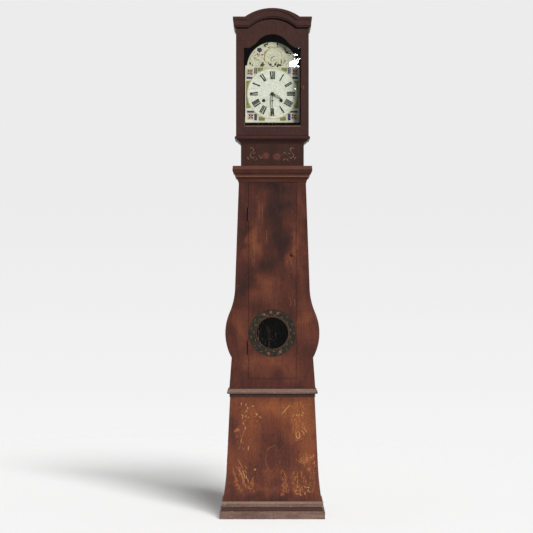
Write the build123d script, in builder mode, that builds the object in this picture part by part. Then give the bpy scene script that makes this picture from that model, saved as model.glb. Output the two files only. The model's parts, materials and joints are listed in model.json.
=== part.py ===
from build123d import *
from math import atan2, cos, degrees, radians, sin, sqrt

# A tall painted longcase clock with a violin-shaped trunk and an arched hood.
# Millimetres. +Z is up, the front faces -Y, and the origin is on the floor under the middle of the case.

# ---------------------------------------------------------------- driving dimensions: the case
case_depth = 280.0
front_board = 18.0
side_board = 14.0
back_board = 12.0
mitre_gap = 0.2

plinth_reach = 13.5
plinth_board = 13.0
plinth_height = 35.0
plinth_chamfer = 2.5
plinth_cap_height = 43.0
plinth_cap_setback = 5.0
plinth_groove_height = 19.0
plinth_groove_hollow = (11.2, 9.0)
plinth_groove_reach = 10.5
plinth_band_reach = 8.0
plinth_band_edge = (2.5, 4.0)
base_height = 469.0
base_foot_half = 223.0
base_hip_half = 206.0
base_hip_height = 146.0
base_flare_bend = 6.3
base_top_half = 190.5
base_setback = 26.0
floor_board = 16.0

waist_height = 37.0
waist_reach = 13.0
waist_inset = 12.0
waist_foot_reach = 3.0
waist_foot_height = 4.0
waist_bead_low = 15.0
waist_bead_high = 28.0
waist_top_reach = 4.0

trunk_height = 1003.0
trunk_setback = 30.0
trunk_foot_half = 194.0
notch_half = 183.5
notch_height = 140.0
belly_half = 212.0
belly_height = 250.0
shoulder_half = 191.5
shoulder_height = 346.0
hip_half = 174.5
hip_height = 400.0
slim_half = 168.0
slim_height = 456.0
trunk_top_half = 148.5
trunk_cornice_height = 73.5
trunk_cornice_reach = 28.0
trunk_cove_reach = 12.0
trunk_cove_height = 23.5
trunk_bead_reach = 16.5
trunk_bead_height = 5.0
trunk_ogee_reach = 22.5
trunk_ogee_height = 13.0
trunk_crown_height = 17.0
fillet_step = 0.5
small_lip = 1.5

trunk_door_half = 107.0
trunk_door_bottom = 46.0
trunk_door_top = 928.0
door_gap = 1.2
window_height = 251.0
window_radius = 70.5
window_rim_width = 5.0
window_rim_proud = 3.0
pane_thickness = 2.5

neck_half = 141.5
neck_height = 101.0
neck_setback = 36.0
cheek_board = 16.0
ledge_height = 9.0
ledge_reach = 8.0
ledge_hollow = (4.6, 5.0)
lift_gap = 0.5

# ---------------------------------------------------------------- driving dimensions: the hood
hood_half = 163.5
hood_setback = 14.0
hood_base_height = 25.0
hood_bead_reach = 6.0
hood_bead_low = 12.0
hood_bead_high = 22.0
hood_cove_reach = -1.5
hood_cove_hollow = (-7.0, 4.5)
hood_door_thickness = 20.0
hood_door_height = 482.5
hood_door_arch_half = 108.0
hood_door_arch_rise = 42.0
stile_width = 35.5
bottom_rail = 47.5
opening_shoulder = 396.0
opening_arch_rise = 61.5
opening_arch_half = 106.0
opening_bend_half = 60.0
opening_bend_rise = 36.0
opening_cove_across = 0.47
opening_cove_up = 0.35
cornice_height = 51.5
cornice_reach = 14.0
cornice_arch_half = 123.0
cornice_arch_rise = 38.5
roof_board = 10.0
hood_latch_height = 218.0

# ---------------------------------------------------------------- driving dimensions: the dial and hands
dial_centre_height = 192.0
dial_depth = 36.0
dial_thickness = 1.5
dial_half = 122.5
dial_arch_radius = 114.0
dial_arch_height = 118.5
dial_shoulder_height = 127.0
dial_drop = 130.0
minute_hand_length = 98.0
hour_hand_length = 52.0
hour_hand_angle = 119.5
hand_thickness = 1.2

# ---------------------------------------------------------------- driving dimensions: the movement
plate_thickness = 3.0
plate_half = 90.0
plate_drop = 84.0
plate_rise = 88.0
plate_gap = 65.0
dial_foot = 12.5
pillar_radius = 5.0
arbor_radius = 1.5
pivot_radius = 1.0
pivot_clearance = 0.06
seat_board = 20.0
seat_depth = 150.0

barrel_side = 39.1
barrel_drop = 31.2
barrel_radius = 22.0
barrel_length = 38.0
line_radius = 0.8
weight_radius = 30.0
weight_length = 200.0
weight_floor_height = 394.0
pulley_width = 7.0

pallet_rise = 71.0
pendulum_length = 1150.0
pendulum_back = 20.0
rod_radius = 2.5
bob_radius = 76.0
bob_thickness = 24.0

bell_radius = 46.0
bell_wall = 3.0
bell_rise = 112.0

# ---------------------------------------------------------------- levels and faces that follow
wall_y = case_depth / 2
inner_back_y = wall_y - back_board
plinth_front_y = -case_depth / 2
plinth_half = base_foot_half + plinth_reach
base_front_y = plinth_front_y + base_setback
trunk_front_y = plinth_front_y + trunk_setback
neck_front_y = plinth_front_y + neck_setback
hood_front_y = plinth_front_y + hood_setback

base_foot_z = plinth_height + plinth_cap_height
waist_z = base_foot_z + base_height
trunk_z = waist_z + waist_height
trunk_top_z = trunk_z + trunk_height
trunk_cornice_z = trunk_top_z - trunk_cornice_height
ledge_z = trunk_top_z + neck_height
hood_z = ledge_z + ledge_height
hood_door_z = hood_z + hood_base_height
hood_door_top_z = hood_door_z + hood_door_height
cornice_z = hood_door_top_z + door_gap
hood_top_z = cornice_z + cornice_height
hood_side_front_y = hood_front_y + hood_door_thickness + door_gap

dial_z = hood_door_z + dial_centre_height
dial_front_y = hood_front_y + dial_depth
dial_back_y = dial_front_y + dial_thickness
front_plate_y = dial_back_y + dial_foot
train_front_y = front_plate_y + plate_thickness
train_back_y = train_front_y + plate_gap
back_plate_y = train_back_y + plate_thickness
seat_top_z = dial_z - plate_drop
seat_z = seat_top_z - seat_board
pallet_z = dial_z + pallet_rise
barrel_z = dial_z - barrel_drop
barrel_front_y = train_front_y + 5.0
barrel_back_y = barrel_front_y + barrel_length
line_y = (barrel_front_y + barrel_back_y) / 2
bob_z = pallet_z - pendulum_length
pendulum_y = back_plate_y + pendulum_back
window_z = trunk_z + window_height


# ---------------------------------------------------------------- helpers
def front_plane(y, x=0.0, z=0.0):
    """A plane that faces the front at depth y, with its local axes along X and Z."""
    return Plane(origin=(x, y, z), x_dir=(1, 0, 0), z_dir=(0, -1, 0))


def board(low, high):
    """A plain board between two opposite corners."""
    with BuildPart() as piece:
        with BuildSketch(Plane.XY.offset(low[2])):
            with Locations(((low[0] + high[0]) / 2, (low[1] + high[1]) / 2)):
                Rectangle(high[0] - low[0], high[1] - low[1])
        extrude(amount=high[2] - low[2])
    return piece.part


def mirrored(shape):
    """The same piece on the other side of the clock."""
    return mirror(shape, about=Plane.YZ)


def rod_y(x, z, radius, front_y, back_y):
    """A round rod along the depth of the clock."""
    with BuildPart() as piece:
        with BuildSketch(front_plane(back_y, x, z)):
            Circle(radius)
        extrude(amount=back_y - front_y)
    return piece.part


def draw_profile(points, place):
    """Draws a closed profile. A point of four numbers is reached by an arc through its last two."""
    for start, step in zip(points, points[1:] + points[:1]):
        if len(step) == 4:
            ThreePointArc(place(*start[:2]), place(*step[2:]), place(*step[:2]))
        else:
            Line(place(*start[:2]), place(*step[:2]))


def arch_edge(half, foot_z, rise, end_half):
    """An arch from -end_half to end_half: flat shoulders and a round middle of the given half width."""
    Line((-end_half, foot_z), (-half, foot_z))
    ThreePointArc((-half, foot_z), (0, foot_z + rise), (half, foot_z))
    Line((half, foot_z), (end_half, foot_z))


def moulding(points, face_x, face_y, back_y, front_points=None):
    """A mitred moulding on the front and both sides, from profile points (reach from the face, z).
    The front can have its own profile, where it backs on to a board at another depth."""
    reach = max(point[0] for point in points)
    corner_right = Plane(origin=(face_x, face_y, 0), z_dir=(1, 1, 0))
    corner_left = Plane(origin=(-face_x, face_y, 0), z_dir=(-1, 1, 0))
    with BuildPart() as front:
        with BuildSketch(Plane.YZ):
            with BuildLine():
                draw_profile(front_points or points, lambda out, z: (face_y - out, z))
            make_face()
        extrude(amount=face_x + reach, both=True)
        split(bisect_by=corner_right.offset(-mitre_gap / 2), keep=Keep.BOTTOM)
        split(bisect_by=corner_left.offset(-mitre_gap / 2), keep=Keep.BOTTOM)
    with BuildPart() as side:
        with BuildSketch(front_plane(back_y)):
            with BuildLine():
                draw_profile(points, lambda out, z: (face_x + out, z))
            make_face()
        extrude(amount=back_y - face_y + reach)
        split(bisect_by=corner_right.offset(mitre_gap / 2), keep=Keep.TOP)
    return [front.part, side.part, mirrored(side.part)]


def assembled(shapes):
    """Several separate solids as one piece."""
    with BuildPart() as group:
        for shape in shapes:
            add(shape)
    return group


# ---------------------------------------------------------------- the plinth
plinth_points = [
    (-plinth_board, 0),
    (0, 0),
    (0, plinth_height - plinth_chamfer),
    (-plinth_chamfer, plinth_height),
    (-plinth_board, plinth_height),
]
cap_z = plinth_height + mitre_gap


def plinth_cap_points(inner_reach):
    """The hollow above the plinth and the band over it, back to the board at inner_reach."""
    band_z = plinth_height + plinth_groove_height
    edge_in, edge_down = plinth_band_edge
    return [
        (inner_reach + mitre_gap, cap_z),
        (-plinth_cap_setback, cap_z),
        (
            -plinth_groove_reach,
            band_z,
            -plinth_groove_hollow[0],
            plinth_height + plinth_groove_hollow[1],
        ),
        (-plinth_band_reach, band_z + fillet_step),
        (-plinth_band_reach, base_foot_z - edge_down),
        (
            -plinth_band_reach - edge_in,
            base_foot_z,
            -plinth_band_reach - 0.3 * edge_in,
            base_foot_z - 0.3 * edge_down,
        ),
        (inner_reach + mitre_gap, base_foot_z),
    ]


plinth = assembled(
    moulding(plinth_points, plinth_half, plinth_front_y, wall_y)
    + moulding(
        plinth_cap_points(-plinth_reach),
        plinth_half,
        plinth_front_y,
        wall_y,
        front_points=plinth_cap_points(-base_setback),
    )
)


# ---------------------------------------------------------------- the base
def base_edge(inset):
    """The right edge of the base from the floor board up, moved in by inset."""
    hip = (base_hip_half - inset, base_foot_z + base_hip_height)
    foot = (base_foot_half - inset, base_foot_z)
    bend = (base_hip_half + base_flare_bend - inset, base_foot_z + base_hip_height / 2)
    Line((base_foot_half - inset, floor_board), foot)
    ThreePointArc(foot, bend, hip)
    Line(hip, (base_top_half - inset, waist_z))


with BuildPart() as base_front:
    with BuildSketch(front_plane(base_front_y + front_board)):
        with BuildLine():
            base_edge(side_board)
            Line((base_top_half - side_board, waist_z), (0, waist_z))
            Line((0, waist_z), (0, floor_board))
            Line((0, floor_board), (base_foot_half - side_board, floor_board))
        make_face()
        mirror(about=Plane.YZ)
    extrude(amount=front_board)

with BuildPart() as base_side:
    with BuildSketch(front_plane(inner_back_y)):
        with BuildLine():
            base_edge(0)
            Line((base_top_half, waist_z), (base_top_half - side_board, waist_z))
            base_edge(side_board)
            Line((base_foot_half - side_board, floor_board), (base_foot_half, floor_board))
        make_face()
    extrude(amount=inner_back_y - base_front_y)
base_sides = assembled([base_side.part, mirrored(base_side.part)])

floor_half = plinth_half - plinth_board
floor_front_y = plinth_front_y + plinth_board
case_floor = assembled([board((-floor_half, floor_front_y, 0), (floor_half, wall_y, floor_board))])

# ---------------------------------------------------------------- the waist moulding
waist_inner_x = base_top_half - waist_inset
waist_points = [
    (-waist_inset, waist_z),
    (small_lip, waist_z),
    (waist_foot_reach, waist_z + waist_foot_height),
    (
        waist_reach - small_lip,
        waist_z + waist_bead_low,
        (waist_foot_reach + waist_reach) / 2 - 2 * small_lip,
        waist_z + waist_bead_low - fillet_step,
    ),
    (
        waist_reach - small_lip,
        waist_z + waist_bead_high,
        waist_reach + fillet_step,
        waist_z + (waist_bead_low + waist_bead_high) / 2,
    ),
    (waist_reach / 2, waist_z + waist_bead_high + small_lip),
    (waist_top_reach, waist_z + waist_height),
    (-waist_inset, waist_z + waist_height),
]
waist_moulding = assembled(moulding(waist_points, base_top_half, base_front_y, wall_y))


# ---------------------------------------------------------------- the trunk
def trunk_edge(inset):
    """The right edge of the violin-shaped trunk from its foot to its top, moved in by inset."""
    foot = (trunk_foot_half - inset, trunk_z)
    notch = (notch_half - inset, trunk_z + notch_height)
    belly = (belly_half - inset, trunk_z + belly_height)
    shoulder = (shoulder_half - inset, trunk_z + shoulder_height)
    hip = (hip_half - inset, trunk_z + hip_height)
    slim = (slim_half - inset, trunk_z + slim_height)
    Line(foot, notch)
    ThreePointArc(notch, belly, shoulder)
    ThreePointArc(shoulder, hip, slim)
    Line(slim, (trunk_top_half - inset, trunk_top_z))


with BuildPart() as trunk_side:
    with BuildSketch(front_plane(inner_back_y)):
        with BuildLine():
            trunk_edge(0)
            Line((trunk_top_half, trunk_top_z), (trunk_top_half - side_board, trunk_top_z))
            trunk_edge(side_board)
            Line((trunk_foot_half - side_board, trunk_z), (trunk_foot_half, trunk_z))
        make_face()
    extrude(amount=inner_back_y - trunk_front_y)
trunk_sides = assembled([trunk_side.part, mirrored(trunk_side.part)])

stile_x = trunk_door_half + door_gap
door_bottom_z = trunk_z + trunk_door_bottom
door_top_z = trunk_z + trunk_door_top
trunk_back_y = trunk_front_y + front_board

with BuildPart() as trunk_stile:
    with BuildSketch(front_plane(trunk_back_y)):
        with BuildLine():
            trunk_edge(side_board)
            Line((trunk_top_half - side_board, trunk_top_z), (stile_x, trunk_top_z))
            Line((stile_x, trunk_top_z), (stile_x, trunk_z))
            Line((stile_x, trunk_z), (trunk_foot_half - side_board, trunk_z))
        make_face()
    extrude(amount=front_board)

rail_x = stile_x - mitre_gap
trunk_top_rail = board(
    (-rail_x, trunk_front_y, door_top_z + door_gap), (rail_x, trunk_back_y, trunk_top_z)
)
trunk_bottom_rail = board(
    (-rail_x, trunk_front_y, trunk_z), (rail_x, trunk_back_y, door_bottom_z - door_gap)
)

# ---------------------------------------------------------------- the trunk door, its window and hinges
hinge_radius = 3.0
hinge_length = 60.0
hinge_pin_radius = 1.5
leaf_thickness = 1.0
leaf_width = 12.0
leaf_fit = 0.1
arm_inset = 1.0
arm_depth = 3.0
moving_gap = 0.3
low_hinge_height = 110.0
high_hinge_drop = 170.0
trunk_hinge_x = -(trunk_door_half + door_gap / 2)
trunk_hinge_y = trunk_front_y - hinge_radius - moving_gap
hinge_heights = [door_bottom_z + low_hinge_height, door_top_z - high_hinge_drop]
knuckle_gap = moving_gap
cut = 1.0
knuckle_length = (hinge_length - 2 * knuckle_gap) / 3


def knuckle(z, length, bore):
    """A hinge knuckle on the hinge axis, bored for its pin where bore is more than nothing."""
    with BuildPart() as piece:
        with BuildSketch(Plane.XY.offset(z)):
            with Locations((trunk_hinge_x, trunk_hinge_y)):
                Circle(hinge_radius)
                if bore > 0:
                    Circle(bore, mode=Mode.SUBTRACT)
        extrude(amount=length)
    return piece.part


def leaf(side, z, length):
    """A hinge leaf let into the edge beside the hinge axis: side -1 on the stile and +1 on the door."""
    inner_x = trunk_hinge_x + side * door_gap / 2
    outer_x = inner_x + side * leaf_thickness
    return board(
        (min(inner_x, outer_x), trunk_front_y, z),
        (max(inner_x, outer_x), trunk_front_y + leaf_width, z + length),
    )


def arm(side, z, length):
    """The strip that joins a leaf to its knuckle, in front of the wood."""
    inner_x = trunk_hinge_x + side * arm_inset
    outer_x = trunk_hinge_x + side * (door_gap / 2 + leaf_thickness)
    return board(
        (min(inner_x, outer_x), trunk_hinge_y, z),
        (max(inner_x, outer_x), trunk_front_y + arm_depth, z + length),
    )


fixed_leaves = []
door_leaves = []
leaf_pockets_stile = []
leaf_pockets_door = []
for hinge_z in hinge_heights:
    middle_z = hinge_z + knuckle_length + knuckle_gap
    top_z = middle_z + knuckle_length + knuckle_gap
    with BuildPart() as fixed_leaf:
        for part_z in (hinge_z, top_z):
            add(knuckle(part_z, knuckle_length, 0))
            add(arm(-1, part_z, knuckle_length))
        add(leaf(-1, hinge_z, hinge_length))
        with BuildSketch(Plane.XY.offset(hinge_z)):
            with Locations((trunk_hinge_x, trunk_hinge_y)):
                Circle(hinge_pin_radius)
        extrude(amount=hinge_length)
    with BuildPart() as door_leaf:
        add(knuckle(middle_z, knuckle_length, 0))
        add(arm(1, middle_z, knuckle_length))
        add(leaf(1, middle_z, knuckle_length))
        with BuildSketch(Plane.XY.offset(middle_z)):
            with Locations((trunk_hinge_x, trunk_hinge_y)):
                Circle(hinge_pin_radius + pivot_clearance)
        extrude(amount=knuckle_length, mode=Mode.SUBTRACT)
    fixed_leaves.append(fixed_leaf.part)
    door_leaves.append(door_leaf.part)
    stile_edge = -stile_x
    leaf_pockets_stile.append(
        board(
            (stile_edge - leaf_thickness - leaf_fit, trunk_front_y - cut, hinge_z - leaf_fit),
            (stile_edge + cut, trunk_front_y + leaf_width + leaf_fit, hinge_z + hinge_length + leaf_fit),
        )
    )
    leaf_pockets_door.append(
        board(
            (-trunk_door_half - cut, trunk_front_y - cut, middle_z - leaf_fit),
            (
                -trunk_door_half + leaf_thickness + leaf_fit,
                trunk_front_y + leaf_width + leaf_fit,
                middle_z + knuckle_length + leaf_fit,
            ),
        )
    )
trunk_hinge_case = assembled(fixed_leaves)

with BuildPart() as left_stile:
    add(mirrored(trunk_stile.part))
    for pocket in leaf_pockets_stile:
        add(pocket, mode=Mode.SUBTRACT)
trunk_frame = assembled([trunk_stile.part, left_stile.part, trunk_top_rail, trunk_bottom_rail])

trunk_lock_inset = 14.0
trunk_lock_height = 560.0
trunk_lock_x = trunk_door_half - trunk_lock_inset
trunk_lock_z = door_bottom_z + trunk_lock_height
spindle_radius = 3.0
pane_fit = 0.2
window_lap = 4.0
rebate_radius = window_radius + window_lap
with BuildPart() as trunk_door:
    with BuildSketch(front_plane(trunk_back_y)):
        with Locations((0, (door_bottom_z + door_top_z) / 2)):
            Rectangle(2 * trunk_door_half, door_top_z - door_bottom_z)
        with Locations((0, window_z)):
            Circle(window_radius, mode=Mode.SUBTRACT)
        with Locations((trunk_lock_x, trunk_lock_z)):
            Circle(spindle_radius + pivot_clearance, mode=Mode.SUBTRACT)
    extrude(amount=front_board)
    with BuildSketch(front_plane(trunk_back_y)):
        with Locations((0, window_z)):
            Circle(rebate_radius)
    extrude(amount=pane_thickness, mode=Mode.SUBTRACT)
    for pocket in leaf_pockets_door:
        add(pocket, mode=Mode.SUBTRACT)

rim_round = 1.35
with BuildPart() as window_rim:
    with BuildSketch(front_plane(trunk_front_y, z=window_z)):
        Circle(window_radius + window_rim_width)
        Circle(window_radius, mode=Mode.SUBTRACT)
    extrude(amount=window_rim_proud)
    rim_front = window_rim.faces().sort_by(Axis.Y)[0]
    fillet(rim_front.edges(), radius=rim_round)

window_glass = assembled(
    [rod_y(0, window_z, rebate_radius - pane_fit, trunk_back_y - pane_thickness, trunk_back_y)]
)

# The trunk latch: a knob and spindle through the door, and an upright blade that turns behind the stile.
blade_thickness = 2.0
blade_half_width = 6.0
trunk_blade_length = 26.0
trunk_knob_radius = 7.0
trunk_knob_length = 9.0
trunk_plate_radius = 11.0
plate_proud = 1.2
knob_round = 0.4


def latch(x, z, face_y, blade_y, knob_radius, knob_length, blade_length):
    """A turning latch: a knob in front of face_y, a spindle, and a blade whose front is at blade_y."""
    with BuildPart() as piece:
        with BuildSketch(front_plane(blade_y + blade_thickness, x, z)):
            with Locations((0, (blade_length - blade_half_width) / 2)):
                Rectangle(2 * blade_half_width, blade_length + blade_half_width)
        extrude(amount=blade_thickness)
        with BuildSketch(front_plane(blade_y + blade_thickness / 2, x, z)):
            Circle(spindle_radius)
        extrude(amount=blade_y + blade_thickness / 2 - face_y + plate_proud + knob_length / 2)
        with BuildSketch(front_plane(face_y - plate_proud - moving_gap, x, z)):
            Circle(knob_radius)
        extrude(amount=knob_length)
        front = piece.faces().sort_by(Axis.Y)[0]
        fillet(front.edges(), radius=knob_round * knob_length)
    return piece


def escutcheon(x, z, face_y, radius):
    """A thin round plate on the wood round a spindle."""
    with BuildPart() as piece:
        with BuildSketch(front_plane(face_y, x, z)):
            Circle(radius)
            Circle(spindle_radius + pivot_clearance, mode=Mode.SUBTRACT)
        extrude(amount=plate_proud)
    return piece


trunk_latch = latch(
    trunk_lock_x,
    trunk_lock_z,
    trunk_front_y,
    trunk_back_y + moving_gap,
    trunk_knob_radius,
    trunk_knob_length,
    trunk_blade_length,
)
trunk_escutcheon = escutcheon(trunk_lock_x, trunk_lock_z, trunk_front_y, trunk_plate_radius)
trunk_door_fittings = assembled(door_leaves + [trunk_escutcheon.part])

# ---------------------------------------------------------------- the trunk cornice
cove_z = trunk_cornice_z + trunk_cove_height
bead_z = cove_z + trunk_bead_height
ogee_z = bead_z + trunk_ogee_height
crown_z = ogee_z + trunk_crown_height
bead_face = trunk_bead_reach - 2 * fillet_step
cornice_points = [
    (0.0, trunk_cornice_z),
    (small_lip, trunk_cornice_z),
    (trunk_cove_reach, cove_z, 0.4 * trunk_cove_reach, trunk_cornice_z + 0.45 * trunk_cove_height),
    (bead_face, cove_z + fillet_step),
    (bead_face, bead_z, trunk_bead_reach, (cove_z + bead_z + fillet_step) / 2),
    (trunk_ogee_reach, ogee_z, bead_face + small_lip, (bead_z + ogee_z) / 2 + fillet_step),
    (trunk_ogee_reach + small_lip, ogee_z + fillet_step),
    (trunk_cornice_reach, crown_z, trunk_cornice_reach - fillet_step, (ogee_z + crown_z) / 2),
    (trunk_cornice_reach - small_lip, trunk_top_z),
    (0.0, trunk_top_z),
]
cornice_slope = (slim_half - trunk_top_half) / (trunk_height - slim_height)
cornice_face_half = trunk_top_half + cornice_slope * trunk_cornice_height + mitre_gap
trunk_cornice = assembled(moulding(cornice_points, cornice_face_half, trunk_front_y, wall_y))

# ---------------------------------------------------------------- the neck and the seat board
neck_front = assembled(
    [
        board(
            (-neck_half, neck_front_y, trunk_top_z),
            (neck_half, neck_front_y + front_board, hood_z),
        )
    ]
)
cheek = board(
    (neck_half - cheek_board, neck_front_y + front_board, trunk_top_z),
    (neck_half, inner_back_y, seat_z),
)
neck_cheeks = assembled([cheek, mirrored(cheek)])

ledge_points = [
    (0.0, ledge_z),
    (small_lip, ledge_z),
    (ledge_reach, hood_z, ledge_hollow[0], ledge_z + ledge_hollow[1]),
    (0.0, hood_z),
]
neck_ledge = assembled(moulding(ledge_points, neck_half, neck_front_y, wall_y))

line_gap = 0.1
fall_radius = barrel_radius + line_radius + line_gap
line_hole = 5.0
seat_rim = 4.0
pendulum_slot = 70.0
pendulum_slot_setback = 6.0
seat_front_y = front_plate_y - seat_rim
with BuildPart() as seat_board_piece:
    with BuildSketch(Plane.XY.offset(seat_z)):
        with Locations((0, seat_front_y + seat_depth / 2)):
            Rectangle(2 * neck_half, seat_depth)
        for fall_x in (barrel_side - fall_radius, -barrel_side - fall_radius):
            with Locations((fall_x, line_y)):
                Circle(line_hole, mode=Mode.SUBTRACT)
        for tie_x in (barrel_side + fall_radius, -barrel_side + fall_radius):
            with Locations((tie_x, line_y)):
                Circle(line_radius + line_gap, mode=Mode.SUBTRACT)
        slot_back = seat_front_y + seat_depth
        slot_front = back_plate_y + pendulum_slot_setback
        with Locations((0, (slot_front + slot_back) / 2)):
            Rectangle(pendulum_slot, slot_back - slot_front, mode=Mode.SUBTRACT)
    extrude(amount=seat_board)

# ---------------------------------------------------------------- the backboard
back_top_z = hood_top_z - roof_board - lift_gap
back_crown_z = back_top_z + cornice_arch_rise
back_arch_radius = (cornice_arch_half**2 + cornice_arch_rise**2) / (2 * cornice_arch_rise)
back_arch_turn = degrees(atan2(cornice_arch_half, back_arch_radius - cornice_arch_rise))
with BuildPart() as backboard:
    with BuildSketch(front_plane(wall_y)):
        with BuildLine():
            base_edge(0)
            Line((base_top_half, waist_z), (waist_inner_x, waist_z))
            Line((waist_inner_x, waist_z), (waist_inner_x, trunk_z))
            Line((waist_inner_x, trunk_z), (trunk_foot_half, trunk_z))
            trunk_edge(0)
            Line((trunk_top_half, trunk_top_z), (neck_half, trunk_top_z))
            Line((neck_half, trunk_top_z), (neck_half, back_top_z))
            Line((neck_half, back_top_z), (cornice_arch_half, back_top_z))
            ThreePointArc(
                (cornice_arch_half, back_top_z),
                (
                    back_arch_radius * sin(radians(back_arch_turn / 2)),
                    back_crown_z - back_arch_radius * (1 - cos(radians(back_arch_turn / 2))),
                ),
                (0, back_crown_z),
            )
            Line((0, back_crown_z), (0, floor_board))
            Line((0, floor_board), (base_foot_half, floor_board))
        make_face()
        mirror(about=Plane.YZ)
    extrude(amount=back_board)

# ---------------------------------------------------------------- the hood
ledge_in = neck_half - hood_half + lift_gap
hood_base_points = [
    (ledge_in, hood_z),
    (neck_half + ledge_reach - hood_half + fillet_step, hood_z),
    (
        hood_cove_reach,
        hood_z + hood_bead_low - 2 * fillet_step,
        hood_cove_hollow[0],
        hood_z + hood_cove_hollow[1],
    ),
    (hood_bead_reach - small_lip, hood_z + hood_bead_low),
    (
        hood_bead_reach - small_lip,
        hood_z + hood_bead_high,
        hood_bead_reach,
        hood_z + (hood_bead_low + hood_bead_high) / 2,
    ),
    (0.0, hood_door_z),
    (ledge_in, hood_door_z),
]
hood_base_moulding = assembled(moulding(hood_base_points, hood_half, hood_front_y, wall_y))

hood_wall_x = hood_half - side_board

with BuildPart() as hood_roof:
    with BuildSketch(front_plane(wall_y)):
        with BuildLine():
            arch_edge(cornice_arch_half, hood_top_z, cornice_arch_rise, hood_half)
            Line((hood_half, hood_top_z), (hood_half, hood_top_z - roof_board))
            arch_edge(cornice_arch_half, hood_top_z - roof_board, cornice_arch_rise, hood_half)
            Line((-hood_half, hood_top_z - roof_board), (-hood_half, hood_top_z))
        make_face()
    extrude(amount=wall_y - hood_side_front_y)

# Each side has a strip behind it that closes the hood against the backboard's edge.
with BuildPart() as hood_side:
    add(
        board(
            (hood_wall_x, hood_side_front_y, hood_door_z), (hood_half, wall_y, hood_top_z - roof_board)
        )
    )
    add(
        board(
            (neck_half + lift_gap, inner_back_y, hood_door_z),
            (hood_wall_x, wall_y, hood_top_z - roof_board),
        )
    )
hood_sides = assembled([hood_side.part, mirrored(hood_side.part)])

cornice_steps = [(0.0, 0.0), (4.5, 4.0), (8.5, 12.0), (11.0, 38.0)]
cornice_reaches = [4.5, 8.5, 11.0, cornice_reach]


def cornice_layer(front_y, back_y, lift, half):
    """One layer of the arched cornice, whose lower edge is lifted above the door by lift."""
    with BuildPart() as layer:
        with BuildSketch(front_plane(back_y)):
            with BuildLine():
                arch_edge(cornice_arch_half, hood_top_z, cornice_arch_rise, half)
                Line((half, hood_top_z), (half, cornice_z + lift))
                arch_edge(hood_door_arch_half, cornice_z + lift, hood_door_arch_rise, half)
                Line((-half, cornice_z + lift), (-half, hood_top_z))
            make_face()
        extrude(amount=back_y - front_y)
    return layer.part


hood_corner_right = Plane(origin=(hood_half, hood_front_y, 0), z_dir=(1, 1, 0))
hood_corner_left = Plane(origin=(-hood_half, hood_front_y, 0), z_dir=(-1, 1, 0))
with BuildPart() as cornice_front:
    for (start, lift), end in zip(cornice_steps, cornice_reaches):
        add(cornice_layer(hood_front_y - end, hood_front_y - start, lift, hood_half + cornice_reach))
    split(bisect_by=hood_corner_right.offset(-mitre_gap / 2), keep=Keep.BOTTOM)
    split(bisect_by=hood_corner_left.offset(-mitre_gap / 2), keep=Keep.BOTTOM)
    add(cornice_layer(hood_front_y, hood_side_front_y - door_gap / 2, 0.0, hood_half - mitre_gap))

cornice_side_points = [(0.0, cornice_z)]
for (start, lift), end in zip(cornice_steps, cornice_reaches):
    cornice_side_points.append((start, cornice_z + lift))
    cornice_side_points.append((end, cornice_z + lift))
cornice_side_points = cornice_side_points[1:] + [(cornice_reach, hood_top_z), (0.0, hood_top_z)]
cornice_sides = moulding(cornice_side_points, hood_half, hood_front_y, wall_y)[1:]

# ---------------------------------------------------------------- the hood door
door_pivot_inset = 3.0
door_pivot_radius = 1.8
door_pivot_length = 9.0
door_pivot_x = -hood_half + door_pivot_inset
door_pivot_y = hood_front_y + door_pivot_inset
door_low_z = hood_door_z + door_gap
opening_x = hood_half - stile_width
shoulder_z = hood_door_z + opening_shoulder
rail_top_z = hood_door_z + bottom_rail
hood_door_back_y = hood_front_y + hood_door_thickness
pane_setback = 8.0
pane_front_y = hood_front_y + pane_setback
pane_lap = 3.0
pane_low = (-opening_x - pane_lap, pane_front_y, rail_top_z - pane_lap)
pane_high = (
    opening_x + pane_lap,
    pane_front_y + pane_thickness,
    shoulder_z + opening_arch_rise + pane_lap,
)
pane_pocket = board(
    (pane_low[0] - pane_fit, pane_front_y, pane_low[2] - pane_fit),
    (pane_high[0] + pane_fit, hood_door_back_y + cut, pane_high[2] + pane_fit),
)
hood_latch_inset = 8.5
hood_latch_x = opening_x + hood_latch_inset
hood_latch_z = hood_door_z + hood_latch_height


def pivot_pin(low_z, high_z, radius):
    """A pin or a hole for one on the hood door's pivot axis."""
    with BuildPart() as pin:
        with BuildSketch(Plane.XY.offset(low_z)):
            with Locations((door_pivot_x, door_pivot_y)):
                Circle(radius)
        extrude(amount=high_z - low_z)
    return pin.part


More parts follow.
